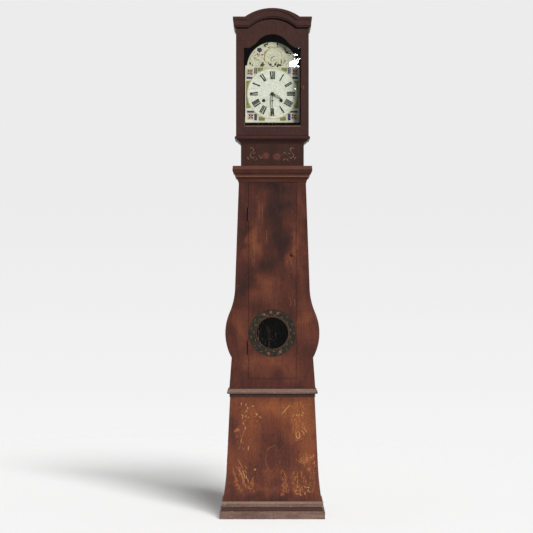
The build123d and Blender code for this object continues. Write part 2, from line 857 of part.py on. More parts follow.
hood_stile_low = (opening_x, hood_front_y, door_low_z)
hood_stile_high = (hood_half, hood_door_back_y, hood_door_top_z)
hood_stile = board(hood_stile_low, hood_stile_high)
hood_bottom_rail = board(
    (-opening_x + mitre_gap, hood_front_y, door_low_z),
    (opening_x - mitre_gap, hood_door_back_y, rail_top_z),
)
with BuildPart() as hood_top_rail:
    with BuildSketch(front_plane(hood_door_back_y)):
        with BuildLine():
            rail_half = opening_x - mitre_gap
            bend = (opening_bend_half, shoulder_z + opening_bend_rise)
            end = (opening_arch_half, shoulder_z)
            cove = (
                end[0] + opening_cove_across * (bend[0] - end[0]),
                end[1] + opening_cove_up * (bend[1] - end[1]),
            )
            Line((rail_half, shoulder_z), end)
            ThreePointArc(end, cove, bend)
            ThreePointArc(bend, (0, shoulder_z + opening_arch_rise), (-bend[0], bend[1]))
            ThreePointArc((-bend[0], bend[1]), (-cove[0], cove[1]), (-end[0], end[1]))
            Line((-end[0], end[1]), (-rail_half, shoulder_z))
            Line((-rail_half, shoulder_z), (-rail_half, hood_door_top_z))
            arch_edge(hood_door_arch_half, hood_door_top_z, hood_door_arch_rise, rail_half)
            Line((rail_half, hood_door_top_z), (rail_half, shoulder_z))
        make_face()
    extrude(amount=hood_door_thickness)

frame_members = []
for member in (hood_stile, mirrored(hood_stile), hood_bottom_rail, hood_top_rail.part):
    with BuildPart() as rebated:
        add(member)
        add(pane_pocket, mode=Mode.SUBTRACT)
        add(
            rod_y(
                hood_latch_x,
                hood_latch_z,
                spindle_radius + pivot_clearance,
                hood_front_y - cut,
                hood_door_back_y + cut,
            ),
            mode=Mode.SUBTRACT,
        )
        for low_z, high_z in (
            (door_low_z, door_low_z + door_pivot_length),
            (hood_door_top_z - door_pivot_length, hood_door_top_z),
        ):
            add(pivot_pin(low_z, high_z, door_pivot_radius), mode=Mode.SUBTRACT)
    frame_members.append(rebated.part)
hood_door_frame = assembled(frame_members)
hood_plate_radius = 6.5
hood_escutcheon = escutcheon(hood_latch_x, hood_latch_z, hood_front_y, hood_plate_radius)
hood_door_fittings = assembled(
    [
        hood_escutcheon.part,
        pivot_pin(hood_door_z - door_pivot_length, door_low_z + door_pivot_length, door_pivot_radius),
        pivot_pin(
            hood_door_top_z - door_pivot_length, cornice_z + door_pivot_length, door_pivot_radius
        ),
    ]
)
hood_door_glass = assembled([board(pane_low, pane_high)])

with BuildPart() as hood_base_moulding:
    for shape in moulding(hood_base_points, hood_half, hood_front_y, wall_y):
        add(shape)
    add(
        pivot_pin(hood_door_z - door_pivot_length, hood_door_z, door_pivot_radius + pivot_clearance),
        mode=Mode.SUBTRACT,
    )
with BuildPart() as hood_cornice:
    add(cornice_front.part)
    for shape in cornice_sides:
        add(shape)
    add(
        pivot_pin(cornice_z, cornice_z + door_pivot_length, door_pivot_radius + pivot_clearance),
        mode=Mode.SUBTRACT,
    )

# The keeper on the hood's side, in front of the latch blade.
keeper_thickness = 1.5
keeper_half_height = 8.0
keeper_reach = 8.0
hood_knob_radius = 4.5
hood_knob_length = 7.0
hood_blade_gap = 2.0
hood_blade_length = hood_wall_x - hood_latch_x - hood_blade_gap
hood_blade_y = hood_side_front_y + keeper_thickness + moving_gap
hood_latch = latch(
    hood_latch_x,
    hood_latch_z,
    hood_front_y,
    hood_blade_y,
    hood_knob_radius,
    hood_knob_length,
    hood_blade_length,
)
hood_latch_keeper = assembled(
    [
        board(
            (hood_wall_x - keeper_reach, hood_side_front_y, hood_latch_z - keeper_half_height),
            (hood_wall_x, hood_side_front_y + keeper_thickness, hood_latch_z + keeper_half_height),
        )
    ]
)

# ---------------------------------------------------------------- the dial and the hands
winding_hole_radius = 7.0
dial_centre_hole = 6.5
dial_foot_radius = 3.0
dial_foot_x = 75.0
dial_foot_low = -70.0
dial_foot_high = 75.0
with BuildPart() as dial:
    with BuildSketch(front_plane(dial_back_y, z=dial_z)):
        with Locations((0, (dial_shoulder_height - dial_drop) / 2)):
            Rectangle(2 * dial_half, dial_shoulder_height + dial_drop)
        with Locations((0, dial_arch_height)):
            Circle(dial_arch_radius)
        Circle(dial_centre_hole, mode=Mode.SUBTRACT)
        with Locations((barrel_side, -barrel_drop), (-barrel_side, -barrel_drop)):
            Circle(winding_hole_radius, mode=Mode.SUBTRACT)
    extrude(amount=dial_thickness)
    with BuildSketch(front_plane(front_plate_y, z=dial_z)):
        for foot_x in (-dial_foot_x, dial_foot_x):
            with Locations((foot_x, dial_foot_low), (foot_x, dial_foot_high)):
                Circle(dial_foot_radius)
    extrude(amount=dial_foot)

cannon_radius = 3.0
hour_pipe_radius = 4.6
hand_hub = 8.0
minute_hub = 6.5
hour_hand_stand_off = 3.0
minute_hand_stand_off = 6.8
hour_hand_y = dial_front_y - hour_hand_stand_off
minute_hand_y = dial_front_y - minute_hand_stand_off
hand_fit = 0.05
minute_blade_root = 1.7
minute_blade_tip = 1.3
minute_head_half = 4.6
minute_head_low = 0.8 * minute_hand_length
minute_head_wide = 0.9 * minute_hand_length
minute_cross_at = 0.33 * minute_hand_length
minute_cross_width = 15.0
minute_cross_bar = 2.2
minute_cross_block = 7.5

with BuildPart() as minute_hand:
    with BuildSketch(front_plane(minute_hand_y, z=dial_z)) as minute_shape:
        Circle(minute_hub)
        with BuildLine():
            Polyline(
                (-minute_blade_root, 0),
                (-minute_blade_tip, -minute_head_low),
                (-minute_head_half, -minute_head_wide),
                (0, -minute_hand_length),
                (minute_head_half, -minute_head_wide),
                (minute_blade_tip, -minute_head_low),
                (minute_blade_root, 0),
                close=True,
            )
        make_face()
        with Locations((0, -minute_cross_at)):
            Rectangle(minute_cross_width, minute_cross_bar)
            Rectangle(minute_cross_block, minute_cross_block, rotation=45)
        Circle(cannon_radius + hand_fit, mode=Mode.SUBTRACT)
    extrude(amount=hand_thickness)

hour_stations = [(0.0, 1.6), (0.3, 4.2), (0.62, 5.4), (0.8, 2.0)]
hour_eye = [(0.26, 0.0), (0.32, 2.4), (0.6, 3.4), (0.74, 0.0)]


def hand_outline(stations, tip):
    """A closed outline, the same on both sides, from (share of the length, half width) stations."""
    upper = [(share * hour_hand_length, half) for share, half in stations]
    lower = [(along, -half) for along, half in reversed(upper) if half > 0]
    return upper + tip + lower


with BuildPart() as hour_hand:
    with BuildSketch(front_plane(hour_hand_y, z=dial_z)) as hour_shape:
        Circle(hand_hub)
        with BuildLine(Plane.XY.rotated((0, 0, 90.0 - hour_hand_angle))):
            Polyline(hand_outline(hour_stations, [(hour_hand_length, 0)]), close=True)
        make_face()
        with BuildLine(Plane.XY.rotated((0, 0, 90.0 - hour_hand_angle))):
            Polyline(hand_outline(hour_eye, []), close=True)
        make_face(mode=Mode.SUBTRACT)
        Circle(hour_pipe_radius + hand_fit, mode=Mode.SUBTRACT)
    extrude(amount=hand_thickness)

# ---------------------------------------------------------------- the wheel trains: arbors on the plates
great_teeth = 96
centre_leaves = 8
centre_teeth = 60
third_leaves = 8
third_teeth = 60
escape_leaves = 8
escape_teeth = 30
strike_great_teeth = 84
pin_leaves = 8
pin_teeth = 64
gathering_leaves = 8
gathering_teeth = 56
warning_leaves = 7
warning_teeth = 49
fly_leaves = 7
cannon_teeth = 24
minute_teeth = 72
minute_leaves = 12
hour_teeth = 48

centre_module = 0.85
third_module = 0.75
pin_module = 0.85
gathering_module = 0.7
warning_module = 0.65
escape_radius = 20.0
pin_angle = 107.0
gathering_angle = 58.5
warning_angle = 147.4
fly_angle = 46.0
motion_mesh = 25.2
hammer_side = 78.0
hammer_rise = 45.0


def mesh(teeth, leaves, module):
    """The distance between the arbors of a wheel and a pinion in mesh."""
    return (teeth + leaves) * module / 2


def away(start, distance, angle):
    """The point at a distance and an angle from another, in the plane of the plates."""
    return (start[0] + distance * cos(radians(angle)), start[1] + distance * sin(radians(angle)))


centre_at = (0.0, dial_z)
going_at = (barrel_side, barrel_z)
strike_at = (-barrel_side, barrel_z)
great_module = 2 * sqrt(barrel_side**2 + barrel_drop**2) / (great_teeth + centre_leaves)
third_mesh = mesh(centre_teeth, third_leaves, centre_module)
escape_mesh = mesh(third_teeth, escape_leaves, third_module)
third_x = escape_mesh * sqrt(0.5)
third_at = (third_x, dial_z + sqrt(third_mesh**2 - third_x**2))
escape_at = (0.0, third_at[1] + third_x)
pallet_at = (0.0, pallet_z)
pin_at = away(strike_at, mesh(strike_great_teeth, pin_leaves, great_module), pin_angle)
gathering_at = away(pin_at, mesh(pin_teeth, gathering_leaves, pin_module), gathering_angle)
warning_mesh = mesh(gathering_teeth, warning_leaves, gathering_module)
warning_at = away(gathering_at, warning_mesh, warning_angle)
fly_at = away(warning_at, mesh(warning_teeth, fly_leaves, warning_module), fly_angle)
cannon_module = 2 * motion_mesh / (cannon_teeth + minute_teeth)
hour_module = 2 * motion_mesh / (minute_leaves + hour_teeth)
minute_at = (0.0, dial_z - motion_mesh)
hammer_at = (-hammer_side, dial_z + hammer_rise)

wheel_thickness = 2.0
great_thickness = 2.5
pinion_margin = 1.6
great_wheel_gap = 1.5
great_wheel_step = 2.0
centre_wheel_setback = 9.0
middle_wheel_depth = 29.0
escape_wheel_setback = 4.0
pin_wheel_setback = 6.0
warning_wheel_depth = 13.0
going_great_y = barrel_back_y + great_wheel_gap
strike_great_y = going_great_y + great_thickness + great_wheel_step
centre_wheel_y = train_back_y - centre_wheel_setback
third_wheel_y = train_front_y + middle_wheel_depth
escape_wheel_y = train_back_y - escape_wheel_setback
pin_wheel_y = train_back_y - pin_wheel_setback
gathering_wheel_y = train_front_y + middle_wheel_depth
warning_wheel_y = train_front_y + warning_wheel_depth
tooth_root_share = 0.375
tooth_tip_share = 0.18
addendum = 0.75
dedendum = 0.95
end_shake = 0.3
rim_width = 2.2
spoke_width = 3.6
hub_radius = 6.0
great_hub_radius = 10.0


def facing(start, end):
    """The angle of the line from one arbor to another."""
    return degrees(atan2(end[1] - start[1], end[0] - start[0]))


def toothed(at, teeth, module, front_y, thickness, tooth_angle):
    """A toothed blank with a tooth at the given angle; its teeth narrow towards their tips."""
    pitch_radius = teeth * module / 2
    tip_radius = pitch_radius + addendum * module
    root_radius = pitch_radius - dedendum * module
    pitch_angle = 360.0 / teeth
    root_half = pitch_angle * tooth_root_share / 2
    tip_half = pitch_angle * tooth_tip_share / 2
    outline = []
    for tooth in range(teeth):
        middle = tooth_angle + tooth * pitch_angle
        outline.append(away((0, 0), root_radius, middle - root_half))
        outline.append(away((0, 0), tip_radius, middle - tip_half))
        outline.append(away((0, 0), tip_radius, middle + tip_half))
        outline.append(away((0, 0), root_radius, middle + root_half))
    with BuildPart() as blank:
        with BuildSketch(front_plane(front_y + thickness, at[0], at[1])):
            with BuildLine():
                Polyline(outline, close=True)
            make_face()
        extrude(amount=thickness)
    return blank.part


def wheel(at, teeth, module, front_y, thickness, tooth_angle, hub=hub_radius):
    """A wheel crossed out to four arms between its rim and its hub."""
    rim_inner = teeth * module / 2 - dedendum * module - rim_width
    with BuildPart() as blank:
        add(toothed(at, teeth, module, front_y, thickness, tooth_angle))
        with BuildSketch(front_plane(front_y + thickness, at[0], at[1])):
            Circle(rim_inner)
            Circle(hub, mode=Mode.SUBTRACT)
            Rectangle(2 * rim_inner, spoke_width, mode=Mode.SUBTRACT)
            Rectangle(spoke_width, 2 * rim_inner, mode=Mode.SUBTRACT)
        extrude(amount=thickness, mode=Mode.SUBTRACT)
    return blank.part


def arbor(at):
    """A plain arbor between the plates, with its two pivots in them."""
    with BuildPart() as shaft:
        add(rod_y(at[0], at[1], arbor_radius, train_front_y + end_shake, train_back_y - end_shake))
        add(rod_y(at[0], at[1], pivot_radius, front_plate_y, back_plate_y))
    return shaft.part


def pinion(at, leaves, module, wheel_y, thickness, partner):
    """A pinion as wide as the wheel it meets and a little more, with a gap facing its partner."""
    gap_angle = facing(at, partner) + 180.0 / leaves
    return toothed(
        at, leaves, module, wheel_y - pinion_margin, thickness + 2 * pinion_margin, gap_angle
    )


motion_thickness = 1.5
cannon_wheel_y = front_plate_y - 3.5
hour_wheel_y = front_plate_y - 8.0
minute_pinion_y = hour_wheel_y - 0.5
cannon_foot_y = front_plate_y - 0.6
hour_pipe_back_y = hour_wheel_y + motion_thickness
cannon_front_y = minute_hand_y - hand_thickness - 1.5
hour_pipe_front_y = hour_hand_y - hand_thickness - 0.5
stud_radius = 1.5
stud_length = 9.5
pivot_overlap = 1.0

with BuildPart() as centre_arbor:
    add(rod_y(*centre_at, arbor_radius, front_plate_y - pivot_overlap, train_back_y - end_shake))
    add(rod_y(*centre_at, pivot_radius, train_back_y - pivot_overlap, back_plate_y))
    add(pinion(centre_at, centre_leaves, great_module, going_great_y, great_thickness, going_at))
    add(
        wheel(
            centre_at,
            centre_teeth,
            centre_module,
            centre_wheel_y,
            wheel_thickness,
            facing(centre_at, third_at),
        )
    )
    add(rod_y(*centre_at, cannon_radius, cannon_front_y, cannon_foot_y))
    add(
        toothed(
            centre_at,
            cannon_teeth,
            cannon_module,
            cannon_wheel_y,
            motion_thickness,
            facing(centre_at, minute_at),
        )
    )

with BuildPart() as minute_wheel:
    add(
        toothed(
            minute_at,
            minute_teeth,
            cannon_module,
            cannon_wheel_y,
            motion_thickness,
            facing(minute_at, centre_at) + 180.0 / minute_teeth,
        )
    )
    add(
        toothed(
            minute_at,
            minute_leaves,
            hour_module,
            minute_pinion_y,
            cannon_wheel_y - minute_pinion_y + fillet_step,
            facing(minute_at, centre_at) + 180.0 / minute_leaves,
        )
    )
    add(
        rod_y(*minute_at, stud_radius + pivot_clearance, minute_pinion_y - cut, front_plate_y),
        mode=Mode.SUBTRACT,
    )

with BuildPart() as hour_wheel:
    add(
        toothed(
            centre_at,
            hour_teeth,
            hour_module,
            hour_wheel_y,
            motion_thickness,
            facing(centre_at, minute_at),
        )
    )
    add(rod_y(*centre_at, hour_pipe_radius, hour_pipe_front_y, hour_pipe_back_y))
    add(
        rod_y(*centre_at, cannon_radius + pivot_clearance, minute_hand_y, front_plate_y),
        mode=Mode.SUBTRACT,
    )

with BuildPart() as third_wheel:
    add(arbor(third_at))
    add(pinion(third_at, third_leaves, centre_module, centre_wheel_y, wheel_thickness, centre_at))
    add(
        wheel(
            third_at,
            third_teeth,
            third_module,
            third_wheel_y,
            wheel_thickness,
            facing(third_at, escape_at),
        )
    )

escape_root = 0.84 * escape_radius
escape_rim_inner = 0.72 * escape_radius
escape_back_angle = -4.5
escape_tip_angle = 2.5
escape_face_angle = 0.5
escape_spoke = 3.0
escape_hub = 5.0
with BuildPart() as escape_wheel:
    add(arbor(escape_at))
    add(pinion(escape_at, escape_leaves, third_module, third_wheel_y, wheel_thickness, third_at))
    with BuildSketch(front_plane(escape_wheel_y + wheel_thickness, *escape_at)):
        with BuildLine():
            escape_points = []
            for tooth in range(escape_teeth):
                tooth_angle = tooth * 360.0 / escape_teeth
                escape_points.append(away((0, 0), escape_root, tooth_angle + escape_back_angle))
                escape_points.append(away((0, 0), escape_radius, tooth_angle + escape_tip_angle))
                escape_points.append(away((0, 0), escape_root, tooth_angle + escape_face_angle))
            Polyline(escape_points, close=True)
        make_face()
        Circle(escape_rim_inner, mode=Mode.SUBTRACT)
        Rectangle(2 * escape_root - escape_spoke, escape_spoke)
        Rectangle(escape_spoke, 2 * escape_root - escape_spoke)
        Circle(escape_hub)
    extrude(amount=wheel_thickness)

barrel_arbor_radius = 3.5
barrel_pivot_radius = 2.0
winding_square = 5.0
square_proud = 1.0
flange_radius = 24.5
flange_thickness = 1.5


def barrel(at):
    """A line barrel with two flanges on its arbor, squared in front for the winding key."""
    with BuildPart() as drum:
        add(rod_y(*at, barrel_radius, barrel_front_y, barrel_back_y))
        add(rod_y(*at, flange_radius, barrel_front_y, barrel_front_y + flange_thickness))
        add(rod_y(*at, flange_radius, barrel_back_y - flange_thickness, barrel_back_y))
        add(rod_y(*at, barrel_arbor_radius, front_plate_y - pivot_overlap, train_back_y - end_shake))
        add(rod_y(*at, barrel_pivot_radius, train_back_y - pivot_overlap, back_plate_y))
        with BuildSketch(front_plane(front_plate_y, *at)):
            Rectangle(winding_square, winding_square)
        extrude(amount=front_plate_y - dial_front_y + square_proud)
    return drum


def great_wheel(at, teeth, front_y, partner):
    """A great wheel that turns on a barrel's arbor and is driven by its click."""
    with BuildPart() as blank:
        add(wheel(at, teeth, great_module, front_y, great_thickness, facing(at, partner), great_hub_radius))
        add(
            rod_y(
                *at, barrel_arbor_radius + pivot_clearance, front_y - cut, front_y + great_thickness + cut
            ),
            mode=Mode.SUBTRACT,
        )
    return blank


going_barrel = barrel(going_at)
strike_barrel = barrel(strike_at)
going_great_wheel = great_wheel(going_at, great_teeth, going_great_y, centre_at)
strike_great_wheel = great_wheel(strike_at, strike_great_teeth, strike_great_y, pin_at)

lifting_pins = 8
lifting_pin_circle = 25.1
lifting_pin_radius = 0.7
lifting_pin_length = 3.5
with BuildPart() as pin_wheel:
    add(arbor(pin_at))
    add(pinion(pin_at, pin_leaves, great_module, strike_great_y, great_thickness, strike_at))
    add(
        wheel(
            pin_at, pin_teeth, pin_module, pin_wheel_y, wheel_thickness, facing(pin_at, gathering_at)
        )
    )
    with BuildSketch(front_plane(pin_wheel_y + wheel_thickness / 2, *pin_at)):
        with PolarLocations(lifting_pin_circle, lifting_pins):
            Circle(lifting_pin_radius)
    extrude(amount=wheel_thickness / 2 + lifting_pin_length)

with BuildPart() as gathering_wheel:
    add(arbor(gathering_at))
    add(pinion(gathering_at, gathering_leaves, pin_module, pin_wheel_y, wheel_thickness, pin_at))
    add(
        wheel(
            gathering_at,
            gathering_teeth,
            gathering_module,
            gathering_wheel_y,
            wheel_thickness,
            facing(gathering_at, warning_at),
        )
    )

with BuildPart() as warning_wheel:
    add(arbor(warning_at))
    add(
        pinion(
            warning_at,
            warning_leaves,
            gathering_module,
            gathering_wheel_y,
            wheel_thickness,
            gathering_at,
        )
    )
    add(
        wheel(
            warning_at,
            warning_teeth,
            warning_module,
            warning_wheel_y,
            wheel_thickness,
            facing(warning_at, fly_at),
        )
    )

fly_reach = 14.0
fly_vane = 1.0
fly_length = 20.0
fly_setback = 10.0
with BuildPart() as fly:
    add(arbor(fly_at))
    add(pinion(fly_at, fly_leaves, warning_module, warning_wheel_y, wheel_thickness, warning_at))
    with BuildSketch(front_plane(train_back_y - fly_setback, *fly_at)):
        Rectangle(2 * fly_reach, fly_vane)
        Circle(arbor_radius + fly_vane)
    extrude(amount=fly_length)

# ---------------------------------------------------------------- the pallets, the cock and the pendulum
crutch_setback = 4.0
crutch_width = 4.0
crutch_hub = 4.0
fork_height = 6.0
fork_overrun = 3.0
pallet_hub = 5.5
anchor_width = 5.0
anchor_cut = 0.38
crutch_y = back_plate_y + crutch_setback
crutch_thickness = 2.0
crutch_drop = 110.0
fork_gap = 0.4
fork_wall = 2.0
cock_stand_off = 9.0
cock_height = 17.0
cock_rise = 3.5
cock_foot = 6.0
cock_y = back_plate_y + cock_stand_off
cock_thickness = 3.0
cock_half = 22.0
pallet_sweep = 1.6
anchor_inner = escape_radius + pallet_sweep

with BuildPart() as pallets:
    add(rod_y(*pallet_at, arbor_radius, train_front_y + end_shake, cock_y - end_shake))
    add(rod_y(*pallet_at, pivot_radius, front_plate_y, cock_y + cock_thickness))
    with BuildSketch(front_plane(escape_wheel_y + wheel_thickness, *escape_at)):
        Circle(anchor_inner + anchor_width)
        Circle(anchor_inner, mode=Mode.SUBTRACT)
        with Locations((0, -anchor_cut * anchor_inner)):
            Rectangle(4 * anchor_inner, 2 * anchor_inner, mode=Mode.SUBTRACT)
    extrude(amount=wheel_thickness)
    with BuildSketch(front_plane(escape_wheel_y + wheel_thickness, *pallet_at)):
        Circle(pallet_hub)
    extrude(amount=wheel_thickness)
    with BuildSketch(front_plane(crutch_y + crutch_thickness, *pallet_at)):
        Circle(crutch_hub)
        with Locations((0, -crutch_drop / 2)):
            Rectangle(crutch_width, crutch_drop)
        with Locations((0, -crutch_drop)):
            Rectangle(2 * (rod_radius + fork_gap + fork_wall), fork_height)
    extrude(amount=crutch_thickness)
    with BuildSketch(front_plane(pendulum_y + rod_radius + fork_overrun, *pallet_at)):
        fork_x = rod_radius + fork_gap + fork_wall / 2
        with Locations((fork_x, -crutch_drop), (-fork_x, -crutch_drop)):
            Rectangle(fork_wall, fork_height)
    extrude(amount=pendulum_y + rod_radius + fork_overrun - crutch_y)

tongue_low = 4.0
tongue_high = 12.0
tongue_half = 8.0
tongue_overrun = 7.0
tongue_back_y = pendulum_y + tongue_overrun
spring_slot = 2.6
spring_slot_half = 6.0
with BuildPart() as back_cock:
    with BuildSketch(front_plane(cock_y + cock_thickness, *pallet_at)):
        with Locations((0, cock_rise)):
            Rectangle(2 * cock_half, cock_height)
        Circle(pivot_radius + pivot_clearance, mode=Mode.SUBTRACT)
    extrude(amount=cock_thickness)
    with BuildSketch(front_plane(cock_y, *pallet_at)):
        foot_x = cock_half - cock_foot / 2
        with Locations((foot_x, cock_rise), (-foot_x, cock_rise)):
            Rectangle(cock_foot, cock_height)
    extrude(amount=cock_y - back_plate_y)
    with BuildSketch(Plane.XY.offset(pallet_z + tongue_low)):
        with Locations((0, (cock_y + cock_thickness + tongue_back_y) / 2)):
            Rectangle(2 * tongue_half, tongue_back_y - cock_y - cock_thickness)
        slot_front_y = pendulum_y - spring_slot_half
        slot_back_y = tongue_back_y + cut
        with Locations((0, (slot_front_y + slot_back_y) / 2)):
            Rectangle(spring_slot, slot_back_y - slot_front_y, mode=Mode.SUBTRACT)
    extrude(amount=tongue_high - tongue_low)

spring_drop = 10.0
spring_root = 4.0
spring_thickness = 0.4
spring_width = 8.0
spring_block = (10.0, 11.0, 5.0)
spring_block_gap = 0.8
rod_overrun = 26.0
bob_rim = 8.0
bob_flat = 8.0
bob_bulge_at = 0.6 * bob_radius
bob_bulge = 0.4 * bob_thickness
nut_radius = 8.0
nut_height = 9.0
rod_top_z = pallet_z - spring_drop
rod_low_z = bob_z - bob_radius - rod_overrun
with BuildPart() as pendulum_rod:
    with BuildSketch(Plane.XY.offset(rod_low_z)):
        with Locations((0, pendulum_y)):
            Circle(rod_radius)
    extrude(amount=rod_top_z - rod_low_z)
    with BuildSketch(Plane.XY.offset(rod_top_z - spring_root)):
        with Locations((0, pendulum_y)):
            Rectangle(spring_thickness, spring_width)
    extrude(amount=spring_root + spring_drop + tongue_high + spring_block[2])
    with BuildSketch(Plane.XY.offset(pallet_z + tongue_high + spring_block_gap)):
        with Locations((0, pendulum_y)):
            Rectangle(spring_block[0], spring_block[1])
    extrude(amount=spring_block[2])

with BuildPart() as pendulum_bob:
    with BuildSketch(Plane(origin=(0, pendulum_y, bob_z), x_dir=(1, 0, 0), z_dir=(0, 0, 1))):
        with BuildLine():
            Line((0, -bob_thickness / 2), (0, bob_thickness / 2))
            Line((0, bob_thickness / 2), (bob_flat, bob_thickness / 2))
            ThreePointArc(
                (bob_flat, bob_thickness / 2),
                (bob_bulge_at, bob_bulge),
                (bob_radius, bob_rim / 2),
            )
            Line((bob_radius, bob_rim / 2), (bob_radius, -bob_rim / 2))
            ThreePointArc(
                (bob_radius, -bob_rim / 2),
                (bob_bulge_at, -bob_bulge),
                (bob_flat, -bob_thickness / 2),
            )
            Line((bob_flat, -bob_thickness / 2), (0, -bob_thickness / 2))
        make_face()
    revolve(axis=Axis((0, pendulum_y, bob_z), (0, 1, 0)), revolution_arc=360)
    with BuildSketch(Plane.XY.offset(bob_z - bob_radius - cut)):
        with Locations((0, pendulum_y)):
            Circle(rod_radius + pivot_clearance)
    extrude(amount=2 * (bob_radius + cut), mode=Mode.SUBTRACT)

with BuildPart() as rating_nut:
    with BuildSketch(Plane.XY.offset(bob_z - bob_radius - nut_height)):
        with Locations((0, pendulum_y)):
            Circle(nut_radius)
            Circle(rod_radius + pivot_clearance, mode=Mode.SUBTRACT)
    extrude(amount=nut_height)

# ---------------------------------------------------------------- the hammer and the bell
hammer_setback = 6.0
hammer_width = 4.0
hammer_hub = 5.0
hammer_root = 3.0
hammer_waist = 2.0
head_size = 14.0
head_gap = 1.5
head_drop = 6.0
head_overhang = 4.0
tail_at = (2.5, -6.0)
tail_width = 3.4
tail_length = 9.0
tail_turn = 25.0
bell_drop = 12.0
hammer_y = train_back_y - hammer_setback
head_x = -bell_radius - head_gap - head_size / 2
head_z = dial_z + bell_rise - head_drop
bell_z = dial_z + bell_rise - bell_drop
with BuildPart() as hammer:
    add(arbor(hammer_at))
    with BuildSketch(front_plane(hammer_y + hammer_width, 0, 0)):
        with BuildLine():
            Polyline(
                (hammer_at[0] - hammer_root, hammer_at[1] - hammer_waist),
                (hammer_at[0] + hammer_root, hammer_at[1] - hammer_waist),
                (head_x + hammer_waist, head_z - hammer_root),
                (head_x - hammer_waist, head_z),
                close=True,
            )
        make_face()
        with Locations(hammer_at):
            Circle(hammer_hub)
        with Locations((hammer_at[0] + tail_at[0], hammer_at[1] + tail_at[1])):
            Rectangle(tail_width, tail_length, rotation=tail_turn)
    extrude(amount=hammer_width)
    with BuildSketch(front_plane(hammer_y + hammer_width + head_overhang, head_x, head_z)):
        Rectangle(head_size, head_size)
    extrude(amount=hammer_width + 2 * head_overhang)

stand_thickness = 3.0
stand_y = back_plate_y + stand_thickness / 2
stand_x = 34.0
stand_width = 8.0
stem_radius = 1.5
stem_gap = 0.3
stem_root = 3.0
stand_foot = 50.0
stand_top_gap = 2.0
with BuildPart() as bell:
    with BuildSketch(Plane(origin=(0, stand_y, bell_z), x_dir=(1, 0, 0), z_dir=(0, -1, 0))):
        with BuildLine():
            Line((bell_radius - bell_wall, 0), (bell_radius, 0))
            ThreePointArc(
                (bell_radius, 0),
                (bell_radius * sqrt(0.5), bell_radius * sqrt(0.5)),
                (0, bell_radius),
            )
            Line((0, bell_radius), (0, bell_radius - bell_wall))
            ThreePointArc(
                (0, bell_radius - bell_wall),
                ((bell_radius - bell_wall) * sqrt(0.5), (bell_radius - bell_wall) * sqrt(0.5)),
                (bell_radius - bell_wall, 0),
            )
        make_face()
    revolve(axis=Axis((0, stand_y, bell_z), (0, 0, 1)), revolution_arc=360)

with BuildPart() as bell_stand:
    with BuildSketch(front_plane(back_plate_y + stand_thickness, 0, dial_z)):
        stand_high = bell_z - dial_z - stand_top_gap
        stand_under = stand_high - stand_width + stand_top_gap
        with BuildLine():
            Polyline(
                (stand_x - stand_width / 2, stand_foot),
                (stand_x + stand_width / 2, stand_foot),
                (stand_x + stand_width / 2, stand_high),
                (-stand_width / 2, stand_high),
                (-stand_width / 2, stand_under),
                (stand_x - stand_width / 2, stand_under),
                close=True,
            )
        make_face()
    extrude(amount=stand_thickness)
    with BuildSketch(Plane.XY.offset(bell_z - stem_root)):
        with Locations((0, stand_y)):
            Circle(stem_radius)
    extrude(amount=stem_root + bell_radius - bell_wall - stem_gap)

cock_and_stand = assembled([back_cock.part, bell_stand.part])

# ---------------------------------------------------------------- the plates and pillars
pillar_inset = 8.0
pallet_hole_gap = 1.5
pillar_x = plate_half - pillar_inset
pillar_low = -plate_drop + pillar_inset
pillar_high = plate_rise - pillar_inset
pillar_places = [
    (side * pillar_x, dial_z + height) for side in (-1, 1) for height in (pillar_low, pillar_high)
]
pivot_places = [third_at, escape_at, pin_at, gathering_at, warning_at, fly_at, hammer_at]
plate_middle = (plate_rise - plate_drop) / 2
with BuildPart() as front_plate:
    with BuildSketch(front_plane(train_front_y)):
        with Locations((0, dial_z + plate_middle)):
            Rectangle(2 * plate_half, plate_rise + plate_drop)
        with Locations(*pivot_places, pallet_at):
            Circle(pivot_radius + pivot_clearance, mode=Mode.SUBTRACT)
        with Locations(centre_at):
            Circle(arbor_radius + pivot_clearance, mode=Mode.SUBTRACT)
        with Locations(going_at, strike_at):
            Circle(barrel_arbor_radius + pivot_clearance, mode=Mode.SUBTRACT)
    extrude(amount=plate_thickness)
    with BuildSketch(front_plane(front_plate_y, *minute_at)):
        Circle(stud_radius)
    extrude(amount=stud_length)

with BuildPart() as back_plate:
    with BuildSketch(front_plane(back_plate_y)):
        with Locations((0, dial_z + plate_middle)):
            Rectangle(2 * plate_half, plate_rise + plate_drop)
        with Locations(*pivot_places, centre_at):
            Circle(pivot_radius + pivot_clearance, mode=Mode.SUBTRACT)
        with Locations(pallet_at):
            Circle(arbor_radius + pallet_hole_gap, mode=Mode.SUBTRACT)
        with Locations(going_at, strike_at):
            Circle(barrel_pivot_radius + pivot_clearance, mode=Mode.SUBTRACT)
    extrude(amount=plate_thickness)

plate_pillars = assembled(
    [rod_y(x, z, pillar_radius, train_front_y, train_back_y) for x, z in pillar_places]
)

# ---------------------------------------------------------------- the weights, their pulleys and lines
pulley_rise = 62.0
stirrup_wall = 2.0
axle_radius = 2.5
hook_width = 6.0
stirrup_gap = 0.5
stirrup_foot = 6.0
pulley_lip = 3.0
pulley_edge = 1.0
groove_fit = 0.4
bridge_gap = 8.0
weight_round = 3.0


